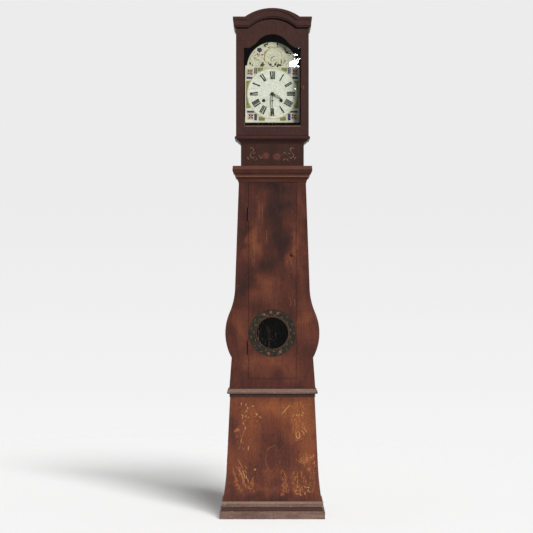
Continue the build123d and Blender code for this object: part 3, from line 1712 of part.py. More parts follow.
def weight(centre_x):
    """A weight with the stirrup and axle of its pulley."""
    weight_top_z = weight_floor_height + weight_length
    axle_z = weight_top_z + pulley_rise
    with BuildPart() as body:
        with BuildSketch(Plane.XY.offset(weight_floor_height)):
            with Locations((centre_x, line_y)):
                Circle(weight_radius)
        extrude(amount=weight_length)
        fillet(body.edges(), radius=weight_round)
        with BuildSketch(Plane.XY.offset(weight_top_z)):
            with Locations((centre_x, line_y)):
                Rectangle(hook_width, 2 * (pulley_width / 2 + stirrup_gap + stirrup_wall))
        extrude(amount=pulley_rise - barrel_radius - bridge_gap)
        for wall_side in (-1, 1):
            inner_y = line_y + wall_side * (pulley_width / 2 + stirrup_gap)
            outer_y = inner_y + wall_side * stirrup_wall
            add(
                board(
                    (centre_x - hook_width / 2, min(inner_y, outer_y), weight_top_z + stirrup_foot),
                    (centre_x + hook_width / 2, max(inner_y, outer_y), axle_z + stirrup_foot),
                )
            )
        add(
            rod_y(
                centre_x,
                axle_z,
                axle_radius,
                line_y - pulley_width / 2 - stirrup_gap - stirrup_wall / 2,
                line_y + pulley_width / 2 + stirrup_gap + stirrup_wall / 2,
            )
        )
    return body


def pulley(centre_x):
    """A grooved pulley that turns on the axle in its stirrup."""
    axle_z = weight_floor_height + weight_length + pulley_rise
    half = pulley_width / 2
    with BuildPart() as sheave:
        with BuildSketch(Plane(origin=(centre_x, line_y, axle_z), x_dir=(1, 0, 0), z_dir=(0, 0, 1))):
            with BuildLine():
                Polyline(
                    (axle_radius + pivot_clearance, -half),
                    (barrel_radius + pulley_lip, -half),
                    (barrel_radius + pulley_lip, -half + pulley_edge),
                    (barrel_radius, -line_radius - groove_fit),
                    (barrel_radius, line_radius + groove_fit),
                    (barrel_radius + pulley_lip, half - pulley_edge),
                    (barrel_radius + pulley_lip, half),
                    (axle_radius + pivot_clearance, half),
                    close=True,
                )
            make_face()
        revolve(axis=Axis((centre_x, line_y, axle_z), (0, 1, 0)), revolution_arc=360)
    return sheave


def weight_line(centre_x):
    """The line from a barrel's left side, round the weight's pulley and up to the seat board."""
    axle_z = weight_floor_height + weight_length + pulley_rise
    left_x = centre_x - fall_radius
    right_x = centre_x + fall_radius
    with BuildPart() as cord:
        with BuildLine():
            Line((left_x, line_y, barrel_z), (left_x, line_y, axle_z))
            ThreePointArc(
                (left_x, line_y, axle_z),
                (centre_x, line_y, axle_z - fall_radius),
                (right_x, line_y, axle_z),
            )
            Line((right_x, line_y, axle_z), (right_x, line_y, seat_z + seat_board / 2))
        with BuildSketch(Plane(origin=(left_x, line_y, barrel_z), z_dir=(0, 0, -1))):
            Circle(line_radius)
        sweep()
    return cord


going_weight = weight(barrel_side)
strike_weight = weight(-barrel_side)
going_pulley = pulley(barrel_side)
strike_pulley = pulley(-barrel_side)
going_line = weight_line(barrel_side)
strike_line = weight_line(-barrel_side)

# ---------------------------------------------------------------- every piece under its own name
pieces = {
    "plinth": plinth,
    "base_front": base_front,
    "base_sides": base_sides,
    "case_floor": case_floor,
    "backboard": backboard,
    "waist_moulding": waist_moulding,
    "trunk_frame": trunk_frame,
    "trunk_sides": trunk_sides,
    "trunk_cornice": trunk_cornice,
    "neck_front": neck_front,
    "neck_cheeks": neck_cheeks,
    "neck_ledge": neck_ledge,
    "seat_board": seat_board_piece,
    "trunk_hinge_case_leaves": trunk_hinge_case,
    "trunk_door": trunk_door,
    "window_rim": window_rim,
    "window_glass": window_glass,
    "trunk_door_fittings": trunk_door_fittings,
    "trunk_door_latch": trunk_latch,
    "hood_sides": hood_sides,
    "hood_roof": hood_roof,
    "hood_cornice": hood_cornice,
    "hood_base_moulding": hood_base_moulding,
    "hood_latch_keeper": hood_latch_keeper,
    "hood_door_frame": hood_door_frame,
    "hood_door_glass": hood_door_glass,
    "hood_door_fittings": hood_door_fittings,
    "hood_door_latch": hood_latch,
    "dial": dial,
    "front_plate": front_plate,
    "back_plate": back_plate,
    "plate_pillars": plate_pillars,
    "back_cock_and_bell_stand": cock_and_stand,
    "bell": bell,
    "hammer": hammer,
    "centre_arbor": centre_arbor,
    "minute_hand": minute_hand,
    "minute_wheel": minute_wheel,
    "hour_wheel": hour_wheel,
    "hour_hand": hour_hand,
    "third_wheel": third_wheel,
    "escape_wheel": escape_wheel,
    "pallets": pallets,
    "going_barrel": going_barrel,
    "going_great_wheel": going_great_wheel,
    "strike_barrel": strike_barrel,
    "strike_great_wheel": strike_great_wheel,
    "pin_wheel": pin_wheel,
    "gathering_wheel": gathering_wheel,
    "warning_wheel": warning_wheel,
    "fly": fly,
    "pendulum_rod": pendulum_rod,
    "pendulum_bob": pendulum_bob,
    "rating_nut": rating_nut,
    "going_weight": going_weight,
    "strike_weight": strike_weight,
    "going_pulley": going_pulley,
    "strike_pulley": strike_pulley,
    "going_line": going_line,
    "strike_line": strike_line,
}
for name, piece in pieces.items():
    piece.part.label = name
    export_step(piece.part, f"parts/{name}.step")
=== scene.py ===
"""Looks of the painted longcase clock.

Procedural paint, the painted ornament and dial, glass, metals, weight lines, stage and camera.
Lengths are millimetres in the shared frame unless a comment says otherwise, and angles degrees.
Blender and its shader nodes take metres. Ornament is given by x and z on the face of its board.
"""

import json
import math

import bmesh
import bpy
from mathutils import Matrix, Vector, noise


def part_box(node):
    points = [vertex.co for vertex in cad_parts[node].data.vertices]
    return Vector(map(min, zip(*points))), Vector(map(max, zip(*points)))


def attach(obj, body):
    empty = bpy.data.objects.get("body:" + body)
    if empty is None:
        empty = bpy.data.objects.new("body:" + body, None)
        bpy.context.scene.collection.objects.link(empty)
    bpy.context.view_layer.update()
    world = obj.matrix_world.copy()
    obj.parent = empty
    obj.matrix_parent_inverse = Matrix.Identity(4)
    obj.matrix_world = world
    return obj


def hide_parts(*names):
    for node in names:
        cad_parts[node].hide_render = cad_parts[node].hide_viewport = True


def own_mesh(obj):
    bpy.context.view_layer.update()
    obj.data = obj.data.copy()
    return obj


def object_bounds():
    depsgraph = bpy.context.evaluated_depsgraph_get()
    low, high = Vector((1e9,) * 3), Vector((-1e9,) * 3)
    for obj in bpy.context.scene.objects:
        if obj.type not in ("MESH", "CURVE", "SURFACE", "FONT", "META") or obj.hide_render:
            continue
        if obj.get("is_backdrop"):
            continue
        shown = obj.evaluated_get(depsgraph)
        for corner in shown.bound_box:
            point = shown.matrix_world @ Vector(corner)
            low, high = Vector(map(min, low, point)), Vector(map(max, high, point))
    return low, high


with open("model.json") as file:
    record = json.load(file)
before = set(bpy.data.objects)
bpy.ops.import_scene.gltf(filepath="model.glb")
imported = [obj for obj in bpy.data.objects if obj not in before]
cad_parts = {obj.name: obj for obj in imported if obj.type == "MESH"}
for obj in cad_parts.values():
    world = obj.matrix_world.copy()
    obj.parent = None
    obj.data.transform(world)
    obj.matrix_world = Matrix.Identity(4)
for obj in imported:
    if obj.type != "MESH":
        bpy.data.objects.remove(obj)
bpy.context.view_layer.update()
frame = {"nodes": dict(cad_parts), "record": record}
nodes = frame["nodes"]
scene = bpy.context.scene
MM = 0.001

# Places that the looks share with the solids.
dial_z = 1914.0
window_z = 835.0
hood_front = 126.0
hood_side = 163.5
door_opening_foot = 1765.5
door_opening_reach = 127.0
barrel_x = 39.1
barrel_z = 1882.8


# ---------------- shader nodes
def srgb(text):
    """A colour written as #rrggbb, as the linear values that a shader takes."""
    parts = [int(text[i : i + 2], 16) / 255 for i in (1, 3, 5)]
    linear = (p / 12.92 if p <= 0.04045 else ((p + 0.055) / 1.055) ** 2.4 for p in parts)
    return (*linear, 1.0)


class Nodes:
    """Makes the nodes of one material or of the world."""

    def __init__(self, tree):
        self.tree = tree

    def plug(self, value, socket):
        """Links a node's output to the socket, or sets the socket to a plain value."""
        if isinstance(value, bpy.types.NodeSocket):
            self.tree.links.new(value, socket)
        else:
            socket.default_value = value

    def node(self, kind, inputs=(), **props):
        """A new node. Its kind is Blender's name for it, without the ShaderNode that all have."""
        made = self.tree.nodes.new("ShaderNode" + kind)
        for key, value in props.items():
            setattr(made, key, value)
        for slot, value in dict(inputs).items():
            self.plug(value, made.inputs[slot])
        return made

    def math(self, op, *values, clamp=False):
        return self.node("Math", enumerate(values), operation=op, use_clamp=clamp).outputs[0]

    def times(self, a, b):
        return self.math("MULTIPLY", a, b)

    def blend(self, value, *patterns):
        """The value with each pattern added to it, times its share."""
        for pattern, share in patterns:
            value = self.math("MULTIPLY_ADD", pattern, share, value)
        return value

    def vec(self, op, a, b=(0, 0, 0)):
        made = self.node("VectorMath", {0: a, 1: b}, operation=op)
        return made.outputs[1 if op == "LENGTH" else 0]

    def part(self, vector, number):
        """The x, y or z of a vector, which are number 0, 1 and 2."""
        return self.node("SeparateXYZ", {0: vector}).outputs[number]

    def span(self, value, low, high, out_low=0.0, out_high=1.0, smooth=True):
        """A rise or fall from out_low to out_high while the value goes from low to high."""
        inputs = {0: value, 1: low, 2: high, 3: out_low, 4: out_high}
        kind = "SMOOTHSTEP" if smooth else "LINEAR"
        return self.node("MapRange", inputs, interpolation_type=kind).outputs[0]

    def ramp(self, value, *stops):
        """Colours by value. Each stop is its value and its colour."""
        made = self.node("ValToRGB", {0: value})
        band = made.color_ramp
        while len(band.elements) < len(stops):
            band.elements.new(0.5)
        for element, (at, colour) in zip(band.elements, stops):
            element.position = at
            element.color = srgb(colour)
        return made.outputs[0]

    def mix(self, factor, a, b):
        a, b = (srgb(c) if isinstance(c, str) else c for c in (a, b))
        return self.node("Mix", {0: factor, 6: a, 7: b}, data_type="RGBA").outputs[2]

    def glaze(self, colour, mask, strength, paint):
        """The colour with paint of a strength over it where the mask is 1."""
        return self.mix(self.times(mask, strength), colour, paint)


class Shade(Nodes):
    """One node material. Its patterns are placed in the shared frame."""

    def __init__(self, name):
        self.material = bpy.data.materials.new(name)
        self.material.use_nodes = True
        super().__init__(self.material.node_tree)
        self.shader = self.tree.nodes["Principled BSDF"]
        self.place = self.node("TexCoord").outputs["Object"]

    def set(self, **values):
        for key, value in values.items():
            self.plug(value, self.shader.inputs[key.replace("_", " ")])

    def see_through(self, factor):
        """Lets light straight through the surface where the factor is 1."""
        clear = self.node("BsdfTransparent").outputs[0]
        both = self.node("MixShader", {0: factor, 1: self.shader.outputs[0], 2: clear})
        self.plug(both.outputs[0], self.tree.nodes["Material Output"].inputs["Surface"])

    def bump(self, height, distance, strength):
        """Relief from a pattern. The distance is metres."""
        inputs = {"Height": height, "Distance": distance, "Strength": strength}
        self.set(Normal=self.node("Bump", inputs).outputs[0])

    def noise(self, scale, detail=4.0, stretch=(1, 1, 1), offset=0.0, rough=0.55, warp=0.0):
        place = self.vec("MULTIPLY", self.place, stretch)
        place = self.vec("ADD", place, (offset, 0.37 * offset, 0.61 * offset))
        inputs = {"Vector": place, "Scale": scale, "Detail": detail}
        inputs |= {"Roughness": rough, "Distortion": warp}
        return self.node("TexNoise", inputs).outputs["Fac"]

    def wobbly(self, amount, scale):
        """The place, moved about by some metres, so that an edge looks drawn by hand."""
        inputs = {"Vector": self.place, "Scale": scale, "Detail": 3.0}
        made = self.node("TexNoise", inputs)
        shift = self.vec("SUBTRACT", made.outputs["Color"], (0.5, 0.5, 0.5))
        shift = self.vec("MULTIPLY", shift, (amount,) * 3)
        return self.vec("ADD", self.place, shift)

    def facing(self, number):
        """How far the surface faces along x, y or z, from -1 to 1."""
        return self.part(self.node("NewGeometry").outputs["Normal"], number)

    def from_middle(self, place, x, z):
        """The place, measured from a point of a front face."""
        return self.vec("SUBTRACT", place, (x * MM, 0, z * MM))

    def spot(self, place, x, z, rx, rz, edge):
        """An elliptical patch on a front face, 0 outside and 1 inside the edge's share of it."""
        local = self.from_middle(place, x, z)
        local = self.vec("MULTIPLY", local, (1 / (rx * MM), 0, 1 / (rz * MM)))
        return self.span(self.vec("LENGTH", local), edge, 1.0, 1.0, 0.0)

    def patch(self, place, x, z, half_x, half_z, soft=0.8):
        """A rectangle on a front face, 1 inside and 0 outside."""
        local = self.vec("ABSOLUTE", self.from_middle(place, x, z))
        local = self.vec("SUBTRACT", local, (half_x * MM, 0, half_z * MM))
        past = self.math("MAXIMUM", self.part(local, 0), self.part(local, 2))
        return self.span(past, -soft * MM, soft * MM, 1.0, 0.0)

    def level(self, low, high, soft):
        """1 between two heights, and 0 above and below them."""
        height = self.part(self.place, 2)
        under = self.span(height, (high - soft) * MM, (high + soft) * MM, 1.0, 0.0)
        return self.times(under, self.span(height, (low - soft) * MM, (low + soft) * MM))

    def within(self, radius, start, end, inside=1.0):
        """Fades out where a radius goes from start to end."""
        return self.span(radius, start * MM, end * MM, inside, 0.0)


def even_stops(colours, low=0.0, high=1.0):
    """Colours at even steps of value, from low to high."""
    last = len(colours) - 1
    return [(low + (high - low) * i / last, colour) for i, colour in enumerate(colours)]


# ---------------- materials
fine_share = 0.16


def painted_wood(
    name, colours, spots=(), *, streak, wear, seed, blotch=0.5, mottle=0.25,
    wear_colour="#8d7468", gloss=0.5, across=False, finish=None,
):
    """Old brown paint brushed to look like grain: streaks, cloudy patches and worn specks."""
    shade = Shade(name)
    long = (0.1, 1, 1) if across else (1, 1, 0.1)
    streaks = shade.noise(80.0, 5.0, long, 1.3 + seed, 0.62, 0.9)
    fine = shade.noise(420.0, 3.0, long, 4.1 + seed, 0.6)
    clouds = shade.noise(9.0, 4.0, (1, 1, 0.55), 7.7 + seed, 0.6, 0.6)
    speckle = shade.noise(125.0, 4.0, (1, 1, 0.6), 14.2 + seed, 0.7, 0.4)
    middle = 0.5 - (streak + blotch + mottle + fine_share) / 2
    place = shade.wobbly(0.11, 14.0)
    patches = ((shade.spot(place, x, z, rx, rz, 0.0), share) for x, z, rx, rz, share in spots)
    grain = ((streaks, streak), (speckle, mottle), (clouds, blotch), (fine, fine_share))
    value = shade.blend(middle, *grain, *patches)
    colour = shade.ramp(value, *even_stops(colours))
    specks = shade.noise(150.0, 6.0, (0.8, 1, 1), 21.0 + seed, 0.68)
    worn = shade.span(specks, 0.66 - wear * 0.16, 0.74 - wear * 0.12)
    colour = shade.glaze(colour, worn, 0.75, wear_colour)
    if finish:
        colour = finish(shade, colour)
    rough = shade.span(streaks, 0.2, 0.8, gloss + 0.1, gloss - 0.05, smooth=False)
    dusty_top = shade.span(shade.facing(2), 0.75, 0.95, 0.0, 0.5)
    rough = shade.math("ADD", rough, dusty_top, clamp=True)
    shade.set(Base_Color=colour, Roughness=rough, Specular_IOR_Level=0.28)
    shade.bump(shade.blend(streaks, (fine, 0.6)), 0.0005, 0.5)
    return shade.material


def metal(name, dark, light, rough, seed, metallic=1.0):
    """Metal with tarnish in patches and fine scratches."""
    shade = Shade(name)
    cloud = shade.noise(38.0, 5.0, offset=seed, rough=0.6)
    scratches = shade.noise(780.0, 2.0, (1, 1, 0.2), offset=seed + 3)
    value = shade.blend(cloud, (scratches, 0.25))
    shade.set(
        Base_Color=shade.ramp(value, (0.35, dark), (0.85, light)),
        Metallic=metallic,
        Roughness=shade.span(value, 0.3, 0.9, rough + 0.12, rough - 0.06, smooth=False),
    )
    shade.bump(scratches, 0.00015, 0.35)
    return shade.material


def glass(name):
    """Old window glass, a little wavy. It lets the lamps through."""
    shade = Shade(name)
    pale_green = (0.97, 0.985, 0.975, 1)
    shade.set(Base_Color=pale_green, Roughness=0.0, IOR=1.45, Transmission_Weight=1.0)
    shade.bump(shade.noise(9.0, 2.0, offset=2.0), 0.0006, 0.12)
    shade.see_through(shade.node("LightPath").outputs["Is Shadow Ray"])
    return shade.material


def faded_paint(name, colour, ground, fade, scale, seed):
    """Brushed ornament, rubbed back to the paint under it in places."""
    shade = Shade(name)
    rub = shade.noise(scale, 5.0, offset=seed, rough=0.65)
    rubbed = shade.span(rub, 0.62 - fade * 0.3, 0.8 - fade * 0.2)
    colour = shade.mix(rubbed, colour, ground)
    shade.set(Base_Color=colour, Roughness=0.5, Specular_IOR_Level=0.28)
    shade.bump(rub, 0.0001, 0.4)
    return shade.material


def bare_wood(name, colours, seed=0.0, outside=None):
    """Unpainted old softwood, darkened by age, and inside the case darker still as painted shade.
    Its face to the wall may have its own colours.
    """
    shade = Shade(name)
    grain = {"Vector": shade.vec("MULTIPLY", shade.place, (1, 1, 0.05)), "Phase Offset": seed}
    grain |= {"Scale": 13.0, "Distortion": 18.0, "Detail": 4.0, "Detail Scale": 1.6}
    rings = shade.node("TexWave", grain).outputs["Fac"]
    fine = shade.noise(300.0, 4.0, (1, 1, 0.06), seed)
    value = shade.blend(0.0, (rings, 0.5), (fine, 0.5))
    colour = shade.ramp(value, *even_stops(colours, 0.15, 0.85))
    if outside:
        stain = shade.noise(7.0, 4.0, (1, 1, 0.4), 3.0 + seed)
        value = shade.math("SUBTRACT", shade.blend(value, (stain, 0.9)), 0.45)
        behind = shade.span(shade.facing(1), 0.4, 0.6)
        colour = shade.mix(behind, colour, shade.ramp(value, *even_stops(outside, 0.15, 0.85)))
    shade.set(Base_Color=colour, Roughness=0.75, Specular_IOR_Level=0.2)
    shade.bump(value, 0.0006, 0.4)
    return shade.material


def twisted_gut():
    shade = Shade("line_gut_twisted")
    inputs = {"Vector": shade.place, "Scale": 160.0, "Distortion": 0.6}
    twist = shade.node("TexWave", inputs, bands_direction="DIAGONAL").outputs["Fac"]
    brown = shade.ramp(twist, (0.0, "#241b10"), (0.6, "#45361f"), (1.0, "#57462c"))
    shade.set(Base_Color=brown, Roughness=0.6)
    shade.bump(twist, 0.0002, 0.5)
    return shade.material


disc_edge = (110.5, 112.0)
rim_edge = (114.5, 115.7)
painted_hole_shade_radius = 8.2


def dial_paint():
    """A white disc with a yellow rim, olive, blue and pink fields, and a cream arch."""
    shade = Shade("dial_paint")
    local = shade.from_middle(shade.wobbly(0.0026, 90.0), 0, dial_z)
    mirrored = shade.vec("ABSOLUTE", shade.vec("MULTIPLY", local, (1, 0, 0)))
    place = shade.vec("ADD", mirrored, shade.vec("MULTIPLY", local, (0, 0, 1)))
    mottle = shade.noise(70.0, 5.0, offset=3.0)
    fine = shade.noise(900.0, 3.0, offset=9.0)
    cloud = shade.noise(105.0, 6.0, offset=5.0, rough=0.8)

    def clouded(dark, middle, light):
        return shade.ramp(cloud, (0.32, dark), (0.5, middle), (0.66, light))

    colour = clouded("#8b8b73", "#aaaa93", "#bdbda9")
    olive = clouded("#454822", "#676838", "#858457")
    pink = clouded("#78655a", "#a08d7e", "#b5a79a")
    white = clouded("#9da192", "#b9bcaf", "#cccfc4")
    blue = shade.ramp(fine, (0.3, "#141a3c"), (0.7, "#272f63"))
    cream = shade.ramp(mottle, (0.3, "#a9a893"), (0.7, "#bdbdab"))
    rim = shade.ramp(mottle, (0.3, "#8e8a54"), (0.6, "#a3a06e"), (0.8, "#b0ae88"))
    # Each field's middle and half size, measured from the middle of the disc.
    for x, z, half_x, half_z, paint in (
        (101, 0, 19.5, 127, cream),
        (0, -119, 120, 8, cream),
        (109, -3, 9.5, 62, olive),
        (54, 109, 13, 9, olive),
        (48, -113, 14, 8.5, olive),
        (101.5, 97.5, 15.5, 15, pink),
        (97, -103, 15.5, 14.5, pink),
        (76, 104, 6.4, 13.5, blue),
        (75.5, -105, 6.2, 15, blue),
        (101.5, 71.5, 15.5, 4.8, blue),
        (97.5, -81.5, 17.0, 4.4, blue),
    ):
        colour = shade.mix(shade.patch(place, x, z, half_x, half_z), colour, paint)
    radius = shade.vec("LENGTH", shade.vec("MULTIPLY", local, (1, 0, 1)))
    colour = shade.mix(shade.within(radius, *rim_edge), colour, rim)
    colour = shade.mix(shade.within(radius, *disc_edge), colour, white)
    # Painted shade: a near-black disc round each winding hole, wider than the hole itself.
    for x in (-barrel_x, barrel_x):
        hole = shade.spot(shade.place, x, barrel_z, *(painted_hole_shade_radius,) * 2, 0.9)
        colour = shade.mix(hole, colour, "#0d0c0b")
    cells = {"Vector": shade.place, "Scale": 120.0}
    crackle = shade.node("TexVoronoi", cells, feature="DISTANCE_TO_EDGE").outputs["Distance"]
    colour = shade.mix(shade.span(crackle, 0.0, 0.03, 0.16, 0.0), colour, "#77735e")
    shade.set(Base_Color=colour, Roughness=0.42, Specular_IOR_Level=0.3)
    shade.bump(fine, 0.0001, 0.3)
    return shade.material


# The cloudy painted grain: each lighter or darker patch by its middle x and z, its half width and
# half height, and its strength.
trunk_spots = (
    (14, 1400, 66, 190, -0.34), (34, 1230, 56, 130, -0.26), (-30, 1140, 60, 80, -0.22),
    (-100, 1080, 56, 90, -0.24), (-150, 1010, 50, 110, -0.3), (-128, 1300, 30, 150, -0.2),
    (-50, 1055, 90, 100, 0.32), (20, 1010, 80, 110, 0.14), (-86, 1250, 46, 140, 0.34),
    (-58, 1390, 30, 110, 0.2), (98, 1260, 34, 100, 0.36), (84, 1170, 44, 90, 0.32),
    (128, 1400, 30, 150, 0.24), (130, 1130, 40, 190, 0.16), (-150, 860, 80, 130, 0.26),
    (150, 900, 86, 150, 0.38), (-186, 830, 34, 90, -0.2), (0, 700, 240, 90, 0.24),
    (-90, 690, 100, 60, 0.16), (20, 650, 50, 60, -0.1), (120, 640, 90, 60, 0.14),
    (0, 1500, 190, 50, -0.3),
)
base_spots = (
    (6, 330, 150, 130, -0.3), (50, 240, 120, 80, -0.2), (-80, 230, 100, 80, -0.16),
    (-190, 400, 60, 120, -0.2), (0, 88, 300, 50, -0.36), (0, 166, 260, 50, -0.2),
    (-190, 120, 60, 90, -0.14), (130, 440, 110, 140, 0.34), (0, 500, 170, 60, 0.3),
    (-100, 400, 80, 190, 0.14), (160, 300, 60, 100, 0.3), (-150, 190, 70, 80, 0.02),
    (130, 170, 120, 60, 0.02), (-30, 200, 40, 100, 0.1),
)
ring_inner = 73.0
ring_outer = 107.0


def window_ring(shade, colour):
    """The dark painted ring round the window, with a thin lighter line at its inner edge."""
    local = shade.from_middle(shade.wobbly(0.004, 60.0), 0, window_z)
    radius = shade.vec("LENGTH", shade.vec("MULTIPLY", local, (1, 0, 1)))
    mottle = shade.noise(160.0, 4.0, offset=31.0)
    ground = shade.ramp(mottle, (0.3, "#1f1b17"), (0.5, "#2d2820"), (0.75, "#4a3f2c"))
    colour = shade.mix(shade.within(radius, ring_outer - 1.5, ring_outer + 1), colour, ground)
    line = shade.within(radius, ring_inner + 4, ring_inner + 5.5, 0.8)
    return shade.mix(line, colour, "#5d4c37")


def bands(*rows):
    """A finish of level bands: each by its foot, its top, how soft its edges are, its strength
    and its paint."""

    def finish(shade, colour):
        for low, high, soft, strength, paint in rows:
            colour = shade.glaze(colour, shade.level(low, high, soft), strength, paint)
        return colour

    return finish


def cornice_shadow(shade, colour):
    """Painted shadow: the lowest steps of the hood's arched cornice painted near black."""
    forward = shade.math("SUBTRACT", shade.times(shade.part(shade.place, 1), -1.0), hood_front * MM)
    aside = shade.math("ABSOLUTE", shade.part(shade.place, 0))
    reach = shade.math("MAXIMUM", forward, shade.math("SUBTRACT", aside, hood_side * MM))
    lowest = shade.span(reach, 0.0047, 0.0054, 1.0, 0.35)
    not_on_top = shade.span(shade.facing(2), 0.3, 0.6, 1.0, 0.0)
    low = shade.times(shade.times(lowest, not_on_top), shade.within(reach, 8.7, 9.4))
    return shade.mix(low, colour, "#150b09")


def sill_highlight(shade, colour):
    """Painted highlight: the lower edge of the hood door's opening is painted lighter."""
    place = shade.wobbly(0.004, 60.0)
    worn = shade.patch(place, 0, door_opening_foot, door_opening_reach, 2.2, 1.2)
    return shade.glaze(colour, worn, 0.55, "#957264")


trunk_colours = ("#281714", "#3b221c", "#532b22", "#6c3a2a", "#89512f")
base_colours = ("#39211c", "#522b23", "#6e3b29", "#884b2d", "#a26237")
hood_colours = ("#281714", "#38221e", "#482c27", "#57362f", "#6a453a")
neck_colours = ("#20120e", "#301b16", "#40251e", "#4f2f27", "#603c30")
plinth_colours = ("#38271f", "#553f37", "#71584e", "#866b60", "#9b8174")
cornice_colours = ("#2a1613", "#40241d", "#553026", "#673c2f", "#7c4b3a")
# The pine inside the case is near black, as painted shade, besides its age.
pine_shade_colours = ("#0a0807", "#110d0c", "#181311", "#1f1815")
pine_outside_colours = ("#4a392c", "#564433", "#614e3b", "#6c5843")

trunk_grain = {"streak": 0.5, "blotch": 0.6, "mottle": 0.4, "wear": 0.1, "seed": 1.0}
trunk_paint = painted_wood("trunk_paint_grained", trunk_colours, trunk_spots, **trunk_grain)
door_paint = painted_wood(
    "door_paint_grained", trunk_colours, trunk_spots, finish=window_ring, **trunk_grain
)
base_paint = painted_wood(
    "base_paint_grained", base_colours, base_spots, streak=0.45, mottle=0.6, wear=0.12, seed=2.0
)
hood_grain = {"streak": 0.4, "mottle": 0.7, "wear": 0.05, "gloss": 0.45, "seed": 3.0}
hood_paint = painted_wood("hood_paint_brown", hood_colours, **hood_grain)
door_frame_paint = painted_wood("hood_door_brown", hood_colours, finish=sill_highlight, **hood_grain)
hood_cornice_paint = painted_wood(
    "hood_cornice_brown", hood_colours, finish=cornice_shadow, across=True, **hood_grain
)
neck_paint = painted_wood(
    "neck_paint_dark", neck_colours, streak=0.45, mottle=0.5, wear=0.05, seed=4.0
)
trim = {"wear": 0.2, "wear_colour": "#8a5645", "across": True}
trim_paint = painted_wood("trim_paint_dark", hood_colours, streak=0.35, seed=5.0, **trim)
# The trunk's cornice: painted highlight on its bead and top, painted shade in its dark quirks.
cornice_highlight_and_shade_bands = bands(
    (1536.5, 1542.5, 0.6, 0.75, "#8a5a48"), (1566, 1570, 0.6, 0.7, "#2a1512"),
    (1571, 1588, 0.6, 0.45, "#7c4636"), (1528, 1535, 0.6, 0.5, "#2a1512"),
)
cornice_paint = painted_wood(
    "trunk_cornice_paint", cornice_colours, streak=0.4, seed=5.5, finish=cornice_highlight_and_shade_bands, **trim
)
# The waist moulding is painted near black in the hollow under its bead, as painted shade, and
# pale on its bead, as painted highlight. The plinth's hollow is dark red, the band over it pale.
waist_highlight_and_shade_bands = bands((545, 562, 1.5, 0.8, "#2e1a16"), (570, 583, 1.5, 0.35, "#a4897c"))
plinth_bands = bands((35.5, 54, 1.2, 0.85, "#3f241f"), (68, 80, 1.5, 0.35, "#a8907f"))
rubbed = {"wear": 0.6, "across": True}
waist_grain = {"streak": 0.5, "mottle": 0.5, "gloss": 0.6, "wear_colour": "#ab9284", "seed": 6.0}
plinth_grain = {"streak": 0.9, "mottle": 0.6, "gloss": 0.62, "wear_colour": "#ab9787", "seed": 7.0}
worn_and_shaded_paint = painted_wood(
    "worn_paint_moulding_with_painted_shade", plinth_colours, finish=waist_highlight_and_shade_bands, **rubbed, **waist_grain
)
plinth_paint = painted_wood(
    "plinth_paint_worn", plinth_colours, finish=plinth_bands, **rubbed, **plinth_grain
)
pine_painted_shade = bare_wood("pine_inside_painted_shade", pine_shade_colours)
board_pine = bare_wood("backboard_pine", pine_shade_colours, 1.0, pine_outside_colours)
line_gut = twisted_gut()
brass = metal("brass_polished", "#6d5326", "#c39c55", 0.26, 1.0)
dull_brass = metal("brass_tarnished", "#4c3a1f", "#977740", 0.38, 2.0)
bell_metal = metal("bell_metal_grey", "#5d5648", "#a59b83", 0.3, 3.0)
steel = metal("steel_grey", "#4d4c4b", "#9c9a97", 0.32, 4.0)
iron = metal("wrought_iron_dark", "#17130f", "#3b3128", 0.6, 6.0, 0.6)
cast = metal("cast_iron_weight", "#15120f", "#39322b", 0.68, 7.0, 0.5)
hands_metal = metal("hands_bronzed", "#2c281f", "#5d543f", 0.45, 8.0, 0.7)
gilt = metal("gilt_fitting", "#8c6a2c", "#e0b96a", 0.28, 9.0)
# The front plate, bob and barrels are near black as painted shade, where they show through the
# winding holes and the window.
plate_metal_painted_shade = metal("brass_dark_painted_shade", "#1a140b", "#3b2d18", 0.55, 2.5)
dark_iron_painted_shade = metal("bob_dark_iron_painted_shade", "#0b0908", "#1c1714", 0.7, 10.0, 0.0)

by_node = {
    node: material
    for material, named in (
        (plinth_paint, "plinth"),
        (base_paint, "base_front base_sides"),
        (worn_and_shaded_paint, "waist_moulding"),
        (trunk_paint, "trunk_frame trunk_sides trunk_hinge_case_leaves"),
        (door_paint, "trunk_door trunk_door_fittings trunk_door_latch"),
        (cornice_paint, "trunk_cornice"),
        (neck_paint, "neck_front neck_cheeks"),
        (trim_paint, "neck_ledge window_rim hood_base_moulding"),
        (hood_paint, "hood_sides hood_roof"),
        (hood_cornice_paint, "hood_cornice"),
        (door_frame_paint, "hood_door_frame"),
        (board_pine, "backboard"),
        (pine_painted_shade, "case_floor seat_board hood_latch_keeper"),
        (glass("window_pane"), "window_glass"),
        (glass("hood_pane"), "hood_door_glass"),
        (gilt, "hood_door_fittings"),
        (dull_brass, "hood_door_latch"),
        (dial_paint(), "dial"),
        (hands_metal, "minute_hand hour_hand centre_arbor"),
        (plate_metal_painted_shade, "front_plate"),
        (dark_iron_painted_shade, "pendulum_bob going_barrel strike_barrel"),
        (bell_metal, "bell"),
        (cast, "going_weight strike_weight"),
        (steel, "hammer pallets plate_pillars"),
        (iron, "back_cock_and_bell_stand pendulum_rod"),
    )
    for node in named.split()
}
by_slot = {"brass": brass, "line_gut": line_gut}
slot_of = {s["node"]: s["material_slot"] for s in frame["record"]["subparts"]}
for node, item in nodes.items():
    material = by_node.get(node) or by_slot.get(slot_of.get(node), dull_brass)
    if not item.material_slots:
        item.data.materials.append(material)
    for slot in item.material_slots:
        slot.material = material


# ---------------- painted ornament
def toward(x, z, distance, angle):
    """The point at a distance from (x, z), angle degrees to the right of straight up."""
    a = math.radians(angle)
    return x + distance * math.sin(a), z + distance * math.cos(a)


